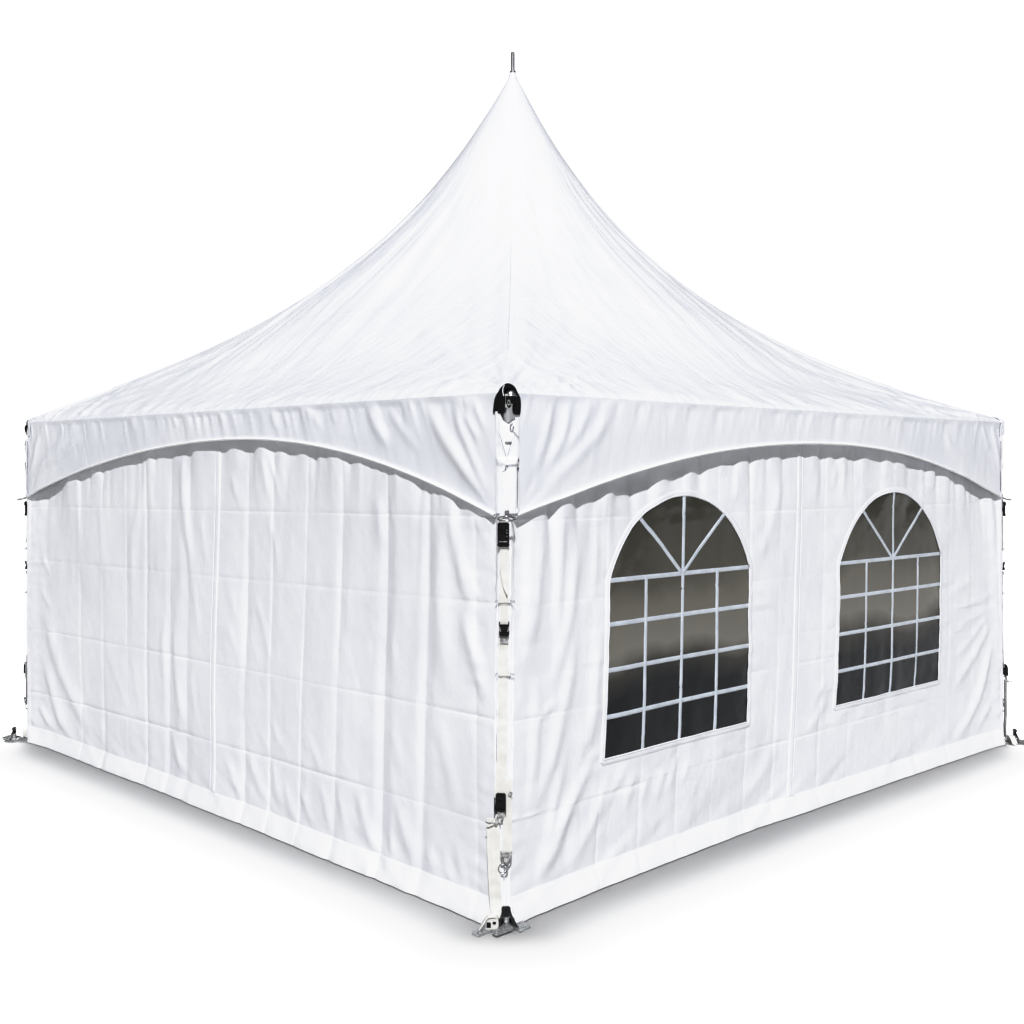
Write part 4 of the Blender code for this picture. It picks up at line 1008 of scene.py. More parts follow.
class Fitting:
    """A piece at a corner post, built in metres to the right, out from the post's axis and up."""

    def __init__(self):
        self.bm = bmesh.new()

    def block(self, low, high, bevel, lean=0.0):
        """A box between two corners with rounded edges, leant in its own face."""
        middle = [(a + b) / 2 for a, b in zip(low, high)]
        made = bmesh.ops.create_cube(self.bm, size=1.0)["verts"]
        turn = Matrix.Rotation(math.radians(lean), 4, "Y")
        size = Matrix.Diagonal([abs(b - a) for a, b in zip(low, high)] + [1.0])
        bmesh.ops.transform(self.bm, matrix=Matrix.Translation(middle) @ turn @ size, verts=made)
        edges = list({edge for vert in made for edge in vert.link_edges})
        bmesh.ops.bevel(self.bm, geom=edges, offset=bevel, segments=2, affect="EDGES")

    def pipe(self, route, radius, sides=12, closed=False):
        """A round bar along a route."""
        route = np.array(route, float)
        along = np.roll(route, -1, 0) - np.roll(route, 1, 0) if closed else np.gradient(route, axis=0)
        along = unit(along)
        across = np.cross(along[0], (0.31, 0.17, 0.93))
        rings = []
        for spot, direction in zip(route, along):
            across = across - direction * across.dot(direction)
            across = across / np.linalg.norm(across)
            other = np.cross(direction, across)
            turns = np.linspace(0, 2 * math.pi, sides, endpoint=False)
            ring = spot + radius * (np.cos(turns)[:, None] * across + np.sin(turns)[:, None] * other)
            rings.append([self.bm.verts.new(point) for point in ring])
        self.skin_rings(rings, closed)

    def skin_rings(self, rings, closed=False):
        """Faces from ring to ring, with a lid on both ends unless the last ring meets the first."""
        for first, second in zip(rings, rings[1:] + rings[:1] if closed else rings[1:]):
            for k in range(len(first)):
                n = (k + 1) % len(first)
                self.bm.faces.new((first[k], first[n], second[n], second[k]))
        if not closed:
            self.bm.faces.new(rings[0][::-1])
            self.bm.faces.new(rings[-1])

    def bend(self, route, count, radius):
        """A round bar along a soft curve through a few places."""
        self.pipe(smooth(route, count), radius)

    def loop(self, centre, wide, high, radius, tilt=90.0, turn=0.0):
        """A ring of round bar. tilt is 0 when it lies flat and 90 when it hangs upright."""
        t = np.linspace(0, 2 * math.pi, 40, endpoint=False)
        tilt, turn = math.radians(tilt), math.radians(turn)
        x = wide * np.cos(t) * math.cos(turn) - high * np.sin(t) * math.sin(turn)
        y = wide * np.cos(t) * math.sin(turn) + high * np.sin(t) * math.cos(turn)
        around = np.stack([x, -y * math.cos(tilt), y * math.sin(tilt)], axis=-1)
        self.pipe(np.array(centre) + around, radius, closed=True)

    def plate(self, points, thick):
        """A slab from rows of points on its outer face."""
        points = np.array(points, float)
        along, across = np.gradient(points, axis=0), np.gradient(points, axis=1)
        outward = unit(np.cross(along, across))
        if outward[..., 1].sum() < 0:
            outward = -outward
        rows, columns = points.shape[:2]
        front, rear = ([[self.bm.verts.new(point) for point in row] for row in layer]
                       for layer in (points, points - outward * thick))
        for r in range(rows - 1):
            for c in range(columns - 1):
                self.bm.faces.new((front[r][c], front[r + 1][c], front[r + 1][c + 1], front[r][c + 1]))
                self.bm.faces.new((rear[r][c], rear[r][c + 1], rear[r + 1][c + 1], rear[r + 1][c]))
        for a, b in ([((r, 0), (r + 1, 0)) for r in range(rows - 1)]
                     + [((r + 1, columns - 1), (r, columns - 1)) for r in range(rows - 1)]
                     + [((0, c + 1), (0, c)) for c in range(columns - 1)]
                     + [((rows - 1, c), (rows - 1, c + 1)) for c in range(columns - 1)]):
            self.bm.faces.new((front[a[0]][a[1]], rear[a[0]][a[1]], rear[b[0]][b[1]], front[b[0]][b[1]]))

    def strap(self, route, wide, thick=0.0024, turns=0.0, step=0.012):
        """Webbing along a route of middles, with its width to the right unless turned by degrees."""
        stops = np.array(route, float)
        done = np.concatenate([[0.0], np.cumsum(np.linalg.norm(np.diff(stops, axis=0), axis=1))])
        at = np.linspace(0.0, done[-1], max(4, round(done[-1] / step)))
        middle = np.stack([np.interp(at, done, stops[:, axis]) for axis in range(3)], axis=-1)
        turn = np.radians(np.interp(at, done, np.broadcast_to(turns, len(done))))
        wides = np.interp(at, done, np.broadcast_to(wide, len(done)))
        sideways = np.stack([np.cos(turn), np.sin(turn), 0.0 * turn], axis=-1)
        rows = []
        for part in np.linspace(-0.5, 0.5, 7):
            camber = 0.0006 * (1 - (2 * part) ** 4)
            rows.append(middle + sideways * (wides * part)[:, None] + np.array([0.0, camber, 0.0]))
        self.plate(np.stack(rows, axis=1), thick)

    def built(self, name, material):
        """The piece as an object."""
        mesh = bpy.data.meshes.new(name)
        self.bm.to_mesh(mesh)
        self.bm.free()
        mesh.materials.append(material)
        mesh.shade_smooth()
        piece = bpy.data.objects.new(name, mesh)
        bpy.context.scene.collection.objects.link(piece)
        return piece

    def put(self, name, corner, material, slot, *nodes, laid=False, aside=0.01):
        """Set the piece at a corner of the tent, on the post's axis or laid on the cover over it."""
        bmesh.ops.translate(self.bm, vec=(aside, 0.0, 0.0), verts=self.bm.verts)
        if laid:
            for vert in self.bm.verts:
                vert.co.y += np.interp(-vert.co.z, -COVER_Z, cover_front[corner])
        bmesh.ops.transform(self.bm, matrix=corner_place(corner), verts=self.bm.verts)
        bmesh.ops.recalc_face_normals(self.bm, faces=self.bm.faces)
        piece = self.built(name + "_" + corner, material)
        piece.data.set_sharp_from_angle(angle=math.radians(38))
        hold(piece, slot, *nodes)


ROOT = math.sqrt(2)
TIP_OUT = ROOT * (HALF - LEG_AT)    # from the post's axis to the roof's corner
HOOD_ASIDE = 0.0095
# places along both edges of the hood: to the right, and up from the eave
HOOD_OUTER = [(-0.0605, -0.083), (-0.06, -0.07), (-0.0575, -0.05), (-0.055, -0.03), (-0.049, -0.012),
              (-0.034, 0.0065), (-0.028, 0.0155), (-0.019, 0.028), (-0.0092, 0.041), (0.0, 0.0455),
              (0.0092, 0.041), (0.02, 0.028), (0.028, 0.0155), (0.033, 0.0065), (0.044, -0.012),
              (0.05, -0.03), (0.0505, -0.05), (0.05, -0.07), (0.046, -0.09)]
HOOD_INNER = [(-0.024, -0.087), (-0.016, -0.076), (-0.014, -0.06), (-0.013, -0.036), (-0.016, -0.02),
              (-0.018, -0.008), (-0.0165, 0.001), (-0.013, 0.007), (-0.007, 0.011), (0.0, 0.012),
              (0.009, 0.011), (0.019, 0.007), (0.0275, 0.001), (0.033, -0.006), (0.034, -0.016),
              (0.029, -0.036), (0.0225, -0.06), (0.024, -0.076), (0.028, -0.09)]


def hood_spot(x, up):
    """A place on the hood: to the right, and up from the eave or in from it over the roof."""
    over = max(0.0, up)
    rise = float(hip_height(1 - over / HALF)) if up > 0 else EAVE + up
    proud = 0.0107 - 0.0067 * min(1.0, over / 0.02)
    out = TIP_OUT - (2 * over / ROOT + abs(x)) + proud
    return (x, out, rise + 0.0045 * min(1.0, over / 0.01))


for corner in CORNERS:
    dark = corner == "front_left"
    hood = Fitting()
    outer, inner = (smooth(edge, 61) * (1.02, 1.0) + (HOOD_ASIDE, 0.0) for edge in (HOOD_OUTER, HOOD_INNER))
    parts = np.linspace(0.0, 1.0, 9)
    hood.plate([[hood_spot(*(a + (b - a) * part)) for part in parts] for a, b in zip(inner, outer)], 0.0032)
    hood.put("corner_hood", corner, HOOD_RUBBER if dark else WHITE_VINYL,
             "black_rubber" if dark else "roof_vinyl", "corner_boot_" + corner, aside=0.0)

    saddle = Fitting()
    arc = np.radians(np.linspace(-28, 50, 17))
    saddle.plate([[(0.043 * math.sin(a), 0.043 * math.cos(a), z) for a in arc]
                  for z in np.linspace(2.06, 2.091, 5)], 0.004)
    saddle.plate([[(0.004 + x * (0.35 + 0.65 * up), 0.0475, 2.044 + 0.04 * up)
                   for x in np.linspace(-0.014, 0.014, 5)] for up in np.linspace(0, 1, 6)], 0.006)
    saddle.put("post_saddle", corner, HOOD_RUBBER, "black_rubber")

    # a bright dome and its rim, the tube's top below them and a small ring in front
    cap = Fitting()
    dome = []
    for lean in np.radians(np.linspace(-60, 88, 13)):
        ring = 0.0225 * math.cos(lean)
        dome.append([(0.009 + ring * math.sin(a), 0.012 + ring * math.cos(a), 2.094 + 0.022 * math.sin(lean))
                     for a in np.linspace(-math.pi, math.pi, 33)])
    cap.plate(dome, 0.001)
    cap.loop((0.009, 0.012, 2.092), 0.024, 0.024, 0.0026, tilt=0.0)
    cap.pipe([(-0.002, 0.002, 1.985), (-0.002, 0.002, 2.062)], 0.03, sides=36)
    cap.loop((0.0025, 0.051, 2.064), 0.0046, 0.0095, 0.0013)
    cap.put("post_cap", corner, ALUMINIUM, "bright_tube")

    cord = Fitting()
    cord.bend([(-0.012, 0.036, 2.134), (-0.0175, 0.046, 2.122), (-0.018, 0.053, 2.106),
               (-0.0145, 0.056, 2.09)], 24, 0.0018)
    cord.put("hood_cord", corner, WALL_VINYL, "roof_vinyl", aside=0.0065)


# Corner covers: a flap of the wall vinyl runs down in front of each post from one wall to the next,
# and over its top, between the valances, a sleeve is drawn in by a knotted band of its own cloth.

COVER_Z = np.linspace(1.655, 0.03, 116)
UNDER_STRAP = 22        # the column of the flap's 57 that the strap lies on
cover_front = {}
for number, corner in enumerate(CORNERS):
    placed = np.array(corner_place(corner))
    found = np.linalg.inv(placed)
    ends = []
    for side, x in ((SIDES[(number + 1) % 4], WALL_END), (SIDES[number], -WALL_END)):
        ends.append(wall_skin(side, x, COVER_Z) @ found[:3, :3].T + found[:3, 3])
    part = np.linspace(0.0, 1.0, 57)[None, :]
    z = COVER_Z[:, None]
    flap = ends[0][:, None] * (1 - part[..., None]) + ends[1][:, None] * part[..., None]
    room = np.maximum(0.005, 0.033 - flap[..., 1])
    wrinkle = 0.0016 * bumps(part * 6.0, z / 0.05, 61) + 0.001 * bumps(part * 11.0, z / 0.02, 62)
    # grooves down the flap: place across, width, depth, and where on its height
    gap_at, gap_wide = 0.125 - 0.09 * share(z, 0.6, 0.4), 0.022 + 0.016 * share(z, 0.6, 0.4)
    for at, wide, deep, where in ((0.78, 0.035, 0.0035, 1.0), (0.9, 0.03, 0.003, 1.0),
                                  (gap_at, gap_wide, 0.022, share(z, 1.3, 1.1)),
                                  (0.6, 0.018, 0.024, share(z, 0.26, 0.22)), (0.965, 0.014, 0.005, 1.0)):
        wrinkle = wrinkle - deep * np.exp(-((part - at) / wide) ** 2) * where
    rounded = room * (1 - np.abs(2 * part - 1) ** 5)
    flap[..., 1] += rounded + wrinkle * share(part, 0.0, 0.03) * share(part, 1.0, 0.95)
    cover_front[corner] = flap[:, UNDER_STRAP, 1] + 0.001
    cover = cloth("corner_cover_" + corner, flap @ placed[:3, :3].T + placed[:3, 3], WALL_VINYL)
    hold(cover, "wall_vinyl")

    sleeve = Fitting()
    part = np.linspace(-1.0, 1.0, 41)[None, :]
    z = np.linspace(1.622, 1.996, 62)[:, None]
    x = -0.0035 + 0.05 * part + 0.0 * z
    out = 0.018 + 0.0185 * (1 - np.abs(part) ** 4)
    out = out + 0.0013 * bumps(part * 4 + 9, z / 0.06, 63) + 0.0009 * bumps(part * 8 + 9, z / 0.025, 64)
    # two grooves and a ridge between them, then the welded point that hangs from the top
    out = out - 0.0065 * np.exp(-((x + 0.0265) / 0.002) ** 2)
    out = out - 0.007 * np.exp(-((x - 0.033 - 0.01 * (z - 1.7)) / 0.0018) ** 2) * share(z, 1.86, 1.8)
    out = out + 0.0014 * np.exp(-((x - 0.006) / 0.006) ** 2) * share(z, 1.79, 1.75)
    out = out + 0.0035 * (np.abs(x + 0.006) < 0.0305 * linear_share(z, 1.842, 1.905)) * share(z, 1.99, 1.975)
    tie = np.exp(-((z - 1.826 - 0.008 * part ** 2) / 0.015) ** 6)
    out = out + 0.0095 * tie * share(np.abs(part), 1.0, 0.75) * (1 + 0.25 * bumps(part * 3, z / 0.008, 65))
    notch = 0.034 * share(x, -0.02, -0.036) - 0.016 * np.exp(-((x - 0.001) / 0.016) ** 2)
    sleeve.plate(np.stack([x, out, z + share(z, 1.95, 1.996) * notch], axis=-1), 0.0016)
    sleeve.plate([[(-0.0165 - 0.004 * (1 - up) + s * (0.004 + 0.001 * up), 0.0405, 1.792 + 0.022 * up)
                   for s in (-1, 0, 1)] for up in np.linspace(0, 1, 4)], 0.0015)
    sleeve.put("post_sleeve", corner, WALL_VINYL, "roof_vinyl")

    hook = Fitting()
    hook.bend([(0.018, 0.043, 1.985), (0.009, 0.046, 1.975), (0.007, 0.046, 1.963), (0.013, 0.046, 1.953),
               (0.021, 0.045, 1.96), (0.02, 0.044, 1.97)], 30, 0.0022)
    hook.bend([(0.015, 0.045, 1.954), (0.026, 0.041, 1.942), (0.043, 0.033, 1.925)], 12, 0.0014)
    hook.block((-0.013, 0.0375, 1.898), (0.014, 0.0435, 1.909), 0.002)
    hook.put("sleeve_hook", corner, ZINC, "foot_steel")

    # a black cord laced down the sleeve's right edge, with two loops and a tail under the band; its black is
    # painted shade where the gap at that edge lies in shadow
    gap_shade_lace = Fitting()
    gap_shade_lace.bend([(0.0395, 0.03, 1.846), (0.0375, 0.033, 1.826), (0.04, 0.034, 1.806), (0.0375, 0.031, 1.78),
               (0.0365, 0.03, 1.7), (0.035, 0.029, 1.642)], 60, 0.0012)
    gap_shade_lace.loop((0.039, 0.033, 1.834), 0.003, 0.004, 0.0014)
    gap_shade_lace.loop((0.0385, 0.034, 1.801), 0.0026, 0.0045, 0.0014)
    gap_shade_lace.bend([(-0.001, 0.045, 1.812), (-0.007, 0.0465, 1.808), (-0.011, 0.045, 1.803),
               (-0.013, 0.042, 1.794)], 16, 0.0013)
    gap_shade_lace.put("sleeve_lace_gap_shade", corner, HOOD_RUBBER, "black_rubber")

    # two grey threads down the edges of the welded point: painted shadows of its folds
    fold_shade_threads = Fitting()
    for top_x, foot_x in ((-0.034, -0.009), (0.022, -0.003)):
        fold_shade_threads.bend([(top_x, 0.0385, 1.94), ((top_x + foot_x) / 2, 0.0408, 1.895),
                       (foot_x, 0.0412, 1.852)], 20, 0.0008)
    fold_shade_threads.put("sleeve_fold_shade_threads", corner, THREAD_PAINTED_SHADE, "roof_vinyl")


# Tie-down straps: flat woven polyester webbing from a ring under the valance to the ground plate, made
# in lengths that cam, side-release and ratchet buckles join, with a second shorter strap and its hook.

WEBBING = finish("woven_webbing", (0.78, 0.77, 0.72), 0.75, sheen=(50.0, 0.65, 0.85))
shades(WEBBING, speckle(WEBBING, 25.0, 3.0), (0.8, 0.793, 0.765), (0.86, 0.853, 0.832))
relief(WEBBING, stripes(WEBBING, 0.0042, (0.0, 0.0, 1.0)), 0.0007, 0.8)
relief(WEBBING, stripes(WEBBING, 0.005, (0.7071, -0.7071, 0.0)), 0.0004, 0.6)
BLACK_PLASTIC = finish("black_buckle_plastic", (0.006, 0.006, 0.007), 0.32, specular=0.3,
                       tones=(80.0, (0.004, 0.004, 0.005), (0.01, 0.01, 0.011)),
                       sheen=(120.0, 0.22, 0.42), grain=(400.0, 0.0002))
TIE_Z = (1.274, 0.984)  # where a cord ties the strap to the post

for corner in CORNERS:
    web = Fitting()
    # the long strap from the top down, its loose tail at the cam buckle, and the short second strap
    web.strap([(-0.019, 0.006, 1.6), (-0.019, 0.006, 1.545)], 0.03)
    web.strap([(-0.017, 0.004, 1.52), (-0.017, 0.003, 1.3), (-0.017, 0.003, 1.15)], 0.035)
    web.strap([(-0.0165, 0.0075, 1.5), (-0.017, 0.0085, 1.4), (-0.012, 0.012, 1.33), (-0.004, 0.018, 1.3)],
              (0.0335, 0.032, 0.018, 0.004))
    web.strap([(-0.02, 0.003, 1.13), (-0.021, 0.003, 0.9), (-0.024, 0.004, 0.65), (-0.032, 0.006, 0.494)],
              (0.036, 0.038, 0.042, 0.042))
    web.strap([(-0.0585, 0.012, 0.419), (-0.0575, 0.013, 0.3), (-0.05, 0.014, 0.12), (-0.044, 0.015, 0.04)],
              (0.052, 0.052, 0.048, 0.044))
    web.strap([(-0.001, 0.0045, 0.57), (-0.003, 0.006, 0.514), (-0.002, 0.008, 0.284)], 0.036)
    web.strap([(-0.03, 0.01, 0.439), (-0.042, 0.022, 0.422), (-0.034, 0.026, 0.406)],
              (0.03, 0.026, 0.018), turns=(0, 25, 60))
    # the cords round the post, and the tail's loop, end and hump by the ground plate
    for z in TIE_Z:
        web.strap([(-0.015, 0.0075, z + 0.008), (-0.015, 0.008, z - 0.008)], 0.05, thick=0.003, step=0.004)
    web.loop((-0.068, 0.012, 0.409), 0.004, 0.007, 0.002)
    web.block((-0.086, 0.044, 0.008), (-0.04, 0.048, 0.05), 0.0015)
    hump = smooth([(-0.04, 0.03, 0.018), (-0.04, 0.032, 0.044), (-0.045, 0.036, 0.054), (-0.078, 0.04, 0.054),
                   (-0.09, 0.046, 0.04), (-0.11, 0.052, 0.01)], 24)
    web.plate([[(x, out + part, z) for part in np.linspace(-0.017, 0.017, 5)] for x, out, z in hump], 0.004)
    web.put("tie_webbing", corner, WEBBING, "webbing", "tie_strap_" + corner, laid=True)

    # grey cords and loops round the ties; their grey is partly the cord's own and partly painted shade in the
    # knots' curls
    knots = Fitting()
    for z in TIE_Z:
        for hand, away in ((-1, 0.012), (1, 0.008), (1, 0.017)):
            spot = -0.015 + hand * (0.02 + away)
            knots.loop((spot, 0.0095, z - 0.002), 0.003, 0.0048, 0.001, turn=25 * hand)
        knots.bend([(-0.04, 0.0092, z - 0.009), (-0.015, 0.0112, z - 0.0105),
                    (0.008, 0.0092, z - 0.009)], 20, 0.0009)
    knots.put("strap_knots", corner, THREAD_PAINTED_SHADE, "webbing", laid=True)

    buckles = Fitting()
    # the cam buckle's frame, lever and ends, and then the side-release buckle's two halves and tongue
    for low, high, bevel in (((-0.0425, 0.004, 1.5), (0.004, 0.018, 1.586), 0.0035),
                             ((-0.0405, 0.014, 1.556), (0.002, 0.023, 1.583), 0.004),
                             ((-0.0435, 0.006, 1.49), (0.0048, 0.022, 1.506), 0.0035),
                             ((-0.034, 0.016, 1.513), (-0.014, 0.02, 1.548), 0.0025),
                             ((-0.036, 0.006, 1.134), (0.004, 0.017, 1.151), 0.003),
                             ((-0.035, 0.006, 1.168), (0.003, 0.017, 1.18), 0.003),
                             ((-0.029, 0.004, 1.146), (-0.003, 0.015, 1.174), 0.003)):
        buckles.block(low, high, bevel)
    for hand in (-1, 1):
        prong, horn = -0.016 + hand * 0.0185, -0.016 + hand * 0.0182
        buckles.block((prong - 0.002, 0.006, 1.142), (prong + 0.002, 0.014, 1.156), 0.001)
        buckles.block((horn - 0.0022, 0.006, 1.172), (horn + 0.0022, 0.016, 1.192), 0.0015, lean=6 * hand)
    # the ratchet's body, handle, foot and cheeks, and the two tabs by the ground plate
    buckles.block((-0.05, 0.006, 0.45), (-0.01, 0.024, 0.518), 0.004, lean=3)
    buckles.block((-0.047, 0.022, 0.49), (-0.013, 0.031, 0.514), 0.005, lean=3)
    buckles.block((-0.052, 0.018, 0.448), (-0.012, 0.03, 0.462), 0.004, lean=3)
    for cheek in (-0.053, -0.01):
        buckles.block((cheek - 0.0018, 0.004, 0.444), (cheek + 0.0018, 0.03, 0.5), 0.001)
    buckles.block((-0.083, 0.047, 0.016), (-0.066, 0.05, 0.036), 0.0012)
    buckles.block((-0.059, 0.047, 0.03), (-0.046, 0.05, 0.038), 0.0012)
    buckles.put("strap_buckles", corner, BLACK_PLASTIC, "black_rubber", laid=True)

    steel = Fitting()
    # the ring under the valance and the cam buckle's bars
    steel.loop((-0.006, 0.036, 1.602), 0.034, 0.032, 0.004, tilt=15.0)
    steel.block((-0.0136, 0.008, 1.616), (0.004, 0.0125, 1.634), 0.0015)
    steel.block((-0.037, 0.02, 1.5085), (-0.004, 0.0235, 1.5125), 0.0008)
    for z in (1.556, 1.545, 1.532):
        steel.block((-0.007, 0.0205, z - 0.002), (-0.003, 0.0242, z + 0.002), 0.0012)
    steel.block((-0.033, 0.005, 1.104), (0.001, 0.011, 1.126), 0.0015)
    # the ratchet's pin, pawls and release
    steel.bend([(-0.046, 0.024, 0.414), (-0.06, 0.03, 0.406), (-0.076, 0.036, 0.406),
                (-0.088, 0.04, 0.412)], 20, 0.0028)
    steel.block((-0.043, 0.02, 0.416), (-0.017, 0.026, 0.448), 0.003, lean=14)
    steel.block((-0.054, 0.02, 0.396), (-0.038, 0.028, 0.424), 0.003, lean=24)
    steel.block((0.002, 0.008, 0.506), (0.016, 0.016, 0.522), 0.002, lean=30)
    # the second strap's bar, its two bent arms and its hook
    steel.block((-0.029, 0.012, 0.272), (0.015, 0.02, 0.286), 0.002)
    for hand in (-1, 1):
        steel.bend([(-0.007 + hand * 0.021, 0.016, 0.292), (-0.007 + hand * 0.02, 0.017, 0.268),
                    (-0.007 + hand * 0.008, 0.013, 0.24)], 14, 0.0028)
    steel.block((-0.018, 0.008, 0.248), (0.004, 0.015, 0.272), 0.003)
    steel.loop((-0.02, 0.012, 0.223), 0.018, 0.018, 0.0032)
    steel.put("strap_steelwork", corner, ZINC, "foot_steel", laid=True)


# Feet: a welded black bracket that holds the post, pinned to three overlapping galvanised ground
# plates with bolt heads. The plates are flat bars with softened corners.

PLATES = [
    # corners to the right and outward, then the height of the underside
    ([(-0.0787, 0.1), (-0.1436, 0.188), (-0.1148, 0.226), (-0.0434, 0.147)], 0.0005),
    ([(-0.0002, 0.1), (-0.0641, 0.19), (-0.0443, 0.226), (0.0217, 0.16)], 0.006),
    ([(0.0614, 0.07), (0.0084, 0.112), (0.0472, 0.175), (0.0915, 0.118)], 0.0005),
    ([(-0.06, -0.06), (-0.06, 0.1), (0.06, 0.1), (0.06, -0.06)], 0.0015),
]
BRACKET = finish("black_bracket_steel", (0.016, 0.016, 0.017), 0.3, metallic=0.3, coat=0.4,
                 tones=(45.0, (0.008, 0.008, 0.009), (0.035, 0.035, 0.037)),
                 sheen=(60.0, 0.18, 0.45), grain=(120.0, 0.0008))

for corner in CORNERS:
    base = Fitting()
    for outline, low in PLATES:
        corners = np.array(outline)
        middle = corners.mean(axis=0)
        start = (corners[3] + corners[0]) / 2
        rim = [start]
        for spot, before, after in zip(corners, np.roll(corners, 1, axis=0), np.roll(corners, -1, axis=0)):
            rim += [spot + 0.06 * (before - spot), spot + 0.02 * (middle - spot)]
            rim += [spot + 0.06 * (after - spot)]
        rim = smooth(rim + [start], 60)[:-1]
        base.skin_rings([[base.bm.verts.new((*(middle + (spot - middle) * size), low + up)) for spot in rim]
                         for size, up in ((1.0, 0.0), (1.0, 0.0062), (0.985, 0.0072), (0.02, 0.0072))])
    # hexagon bolts on washers
    for x, out, z in ((-0.045, 0.2, 0.0132), (-0.018, 0.168, 0.0132),
                      (0.056, 0.13, 0.0077), (-0.108, 0.19, 0.0077)):
        base.pipe([(x, out, z - 0.002), (x, out, z + 0.004), (x, out, z + 0.0046)], 0.0058, sides=6)
        base.pipe([(x, out, z - 0.004), (x, out, z + 0.0012)], 0.0085, sides=20)
    # the socket that the post stands in, and a pin in front with its bolt
    base.pipe([(0.0, 0.0, 0.008), (0.0, 0.0, 0.09)], 0.0325, sides=32)
    base.pipe([(-0.006, 0.124, 0.012), (-0.006, 0.124, 0.045)], 0.011, sides=24)
    base.pipe([(-0.008, 0.142, 0.032), (-0.008, 0.124, 0.034)], 0.0062, sides=6)
    base.put("ground_plates", corner, GALVANISED, "foot_steel", "base_foot_" + corner)

    bracket = Fitting()
    bracket.block((-0.025, 0.116, 0.066), (0.01, 0.136, 0.086), 0.004)
    bracket.block((-0.02, 0.116, 0.044), (0.006, 0.13, 0.07), 0.003)
    for hand, foot in ((-0.018, -0.04), (0.006, 0.036)):
        rows = []
        for up in np.linspace(0.0, 1.0, 8):
            x = foot + (hand - foot) * (1 - (1 - up) ** 1.5)
            wide = (0.016 - 0.007 * up) * np.linspace(-0.5, 0.5, 5)
            rows.append([(x + side_on, 0.15 - 0.024 * up, 0.012 + 0.062 * up) for side_on in wide])
        bracket.plate(rows, 0.009)
    bracket.put("foot_bracket", corner, BRACKET, "foot_steel")


# Peak: a bright rod that stands out through the top of the cloth with a collar on it. The roof ends in
# a short cuff of its own vinyl, welded round the rod, which sheds the rain.

paint("spire", ALUMINIUM)
peak = Fitting()
turns = np.linspace(-math.pi, math.pi, 41)
cuff_rings = ((0.015, 4.4165), (0.0185, 4.415), (0.0215, 4.408),
              (0.024, 4.395), (0.029, 4.38), (0.037, 4.362))
peak.plate([[(r * math.sin(a), r * math.cos(a), z) for a in turns] for r, z in cuff_rings], 0.002)
cuff = peak.built("peak_cuff", WHITE_VINYL)
hold(cuff, "roof_vinyl")


# Studio: a pale floor under a soft light of its own, a grey ground that throws less light back, one
# key light from behind the camera and a white room. The camera stands off the front left corner.

FLOOR_WHITE = finish("pale_floor", (0.95, 0.95, 0.95), 0.9,
                     tones=(0.7, (0.945, 0.945, 0.945), (0.955, 0.955, 0.955)))
GROUND_GREY = finish("grey_ground", (0.55, 0.55, 0.55), 0.9,
                     tones=(0.7, (0.53, 0.53, 0.53), (0.57, 0.57, 0.57)))
grounds = []
for name, height, material in (("studio_floor", 0.0, FLOOR_WHITE), ("studio_ground", -0.004, GROUND_GREY)):
    bpy.ops.mesh.primitive_plane_add(size=600.0, location=(0.0, 0.0, height))
    plane = bpy.context.object
    plane.name = name
    plane.data.materials.append(material)
    grounds.append(plane)
floor, ground = grounds
floor.visible_diffuse = False
floor.visible_shadow = False
ground.visible_camera = False


def lamp(name, kind, energy, towards):
    """A light of a kind that shines from a direction."""
    light = bpy.data.lights.new(name, kind)
    light.energy = energy
    piece = bpy.data.objects.new(name, light)
    piece.rotation_euler = Vector(towards).to_track_quat("Z", "Y").to_euler()
    bpy.context.scene.collection.objects.link(piece)
    return piece


KEY_FROM = (-0.467, -0.512, 0.721)
KEY_AWAY = 62.0         # metres from the front left post
KEY_BRIGHT = 3.46       # what reaches the tent, as for a sun
key = lamp("key", "POINT", KEY_BRIGHT * 4 * math.pi * KEY_AWAY ** 2, KEY_FROM)
key.data.shadow_soft_size = 0.65
key.location = [near + part * KEY_AWAY for near, part in zip((-LEG_AT, -LEG_AT, 1.0), KEY_FROM)]
overhead = lamp("overhead", "SUN", 4.9, (0.155, 0.155, 1.0))
overhead.data.angle = math.radians(19.0)
sky = lamp("sky", "SUN", 0.38, (-0.1, -0.1, 1.0))
sky.data.angle = math.radians(50.0)
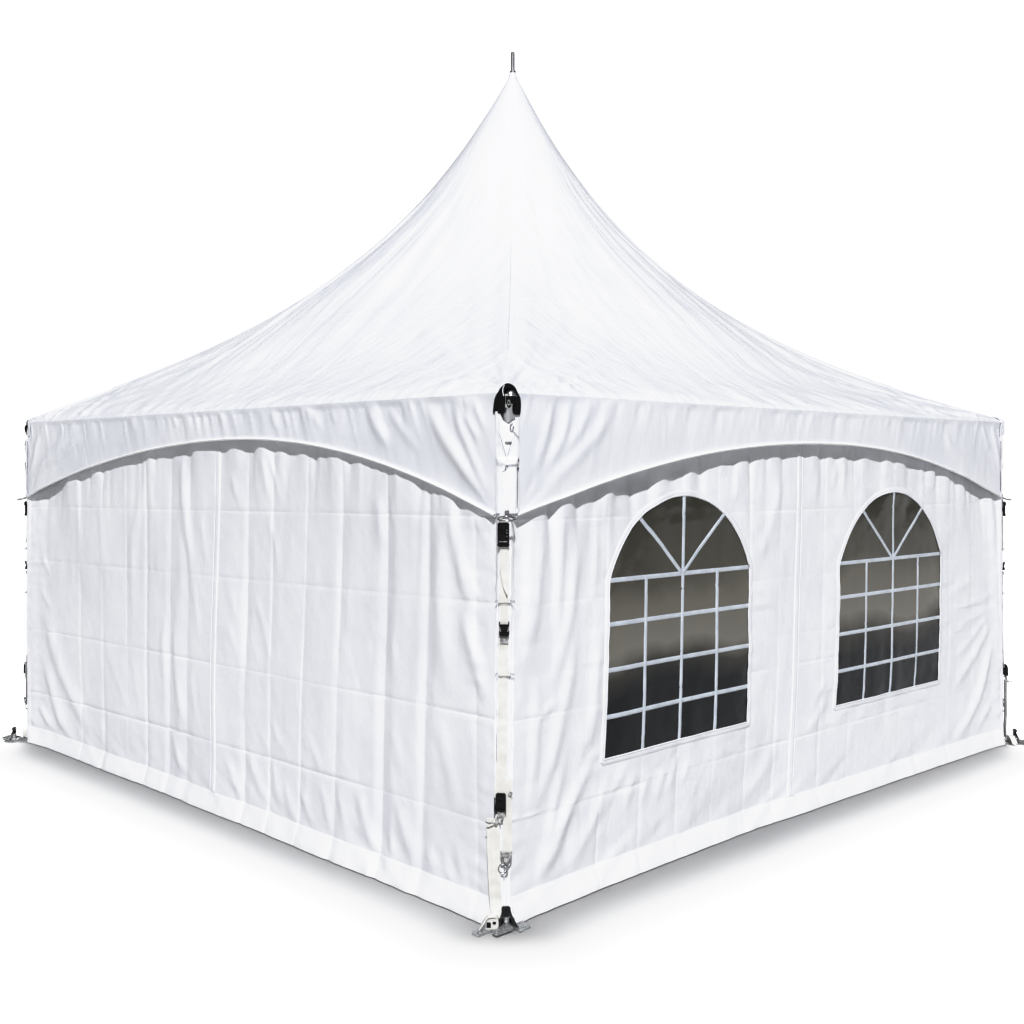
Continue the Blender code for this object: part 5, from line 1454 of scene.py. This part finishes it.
# the overhead light falls on the floor alone, and the other two on everything but the floor
lit_from_above = bpy.data.collections.new("lit_from_above")
lit_from_above.objects.link(floor)
overhead.light_linking.receiver_collection = lit_from_above
not_by_key = bpy.data.collections.new("not_by_key")
not_by_key.objects.link(floor)
key.light_linking.receiver_collection = not_by_key
sky.light_linking.receiver_collection = not_by_key
not_by_key.collection_objects[0].light_linking.link_state = "EXCLUDE"

world = bpy.data.worlds.new("white_room")
bpy.context.scene.world = world
world.use_nodes = True
dim = world.node_tree.nodes["Background"]
bright = node(world, "ShaderNodeBackground")
for background, strength in ((dim, 0.137), (bright, 1.5)):
    background.inputs["Color"].default_value = (1.0, 1.0, 1.0, 1.0)
    background.inputs["Strength"].default_value = strength
seen = node(world, "ShaderNodeLightPath")
either = node(world, "ShaderNodeMixShader")
world_links = world.node_tree.links
world_links.new(seen.outputs["Is Camera Ray"], either.inputs[0])
world_links.new(dim.outputs[0], either.inputs[1])
world_links.new(bright.outputs[0], either.inputs[2])
world_links.new(either.outputs[0], world.node_tree.nodes["World Output"].inputs["Surface"])

lens = bpy.data.cameras.new("camera")
lens.lens = 43.16
lens.sensor_width = 36.0
lens.shift_y = -0.0421
lens.clip_end = 900.0
camera = bpy.data.objects.new("camera", lens)
camera.location = (-5.69, -5.79, 1.8)
camera.rotation_euler = (math.radians(90), 0.0, math.radians(-44.466))
bpy.context.scene.collection.objects.link(camera)
bpy.context.scene.camera = camera

look = bpy.context.scene.view_settings
look.view_transform = "Standard"
look.use_curve_mapping = True
PURE_WHITE = 1.35       # the brightness that shows as pure white
look.curve_mapping.white_level = (PURE_WHITE,) * 3
tones = look.curve_mapping.curves[3].points
for brightness, shown in ((0.05, 0.018), (0.1, 0.045), (0.2, 0.11), (0.33, 0.2), (0.55, 0.43), (0.7, 0.61),
                          (0.78, 0.725), (0.85, 0.815), (0.92, 0.885), (1.0, 0.926), (1.15, 0.958)):
    tones.new(brightness / PURE_WHITE, shown)
look.curve_mapping.update()
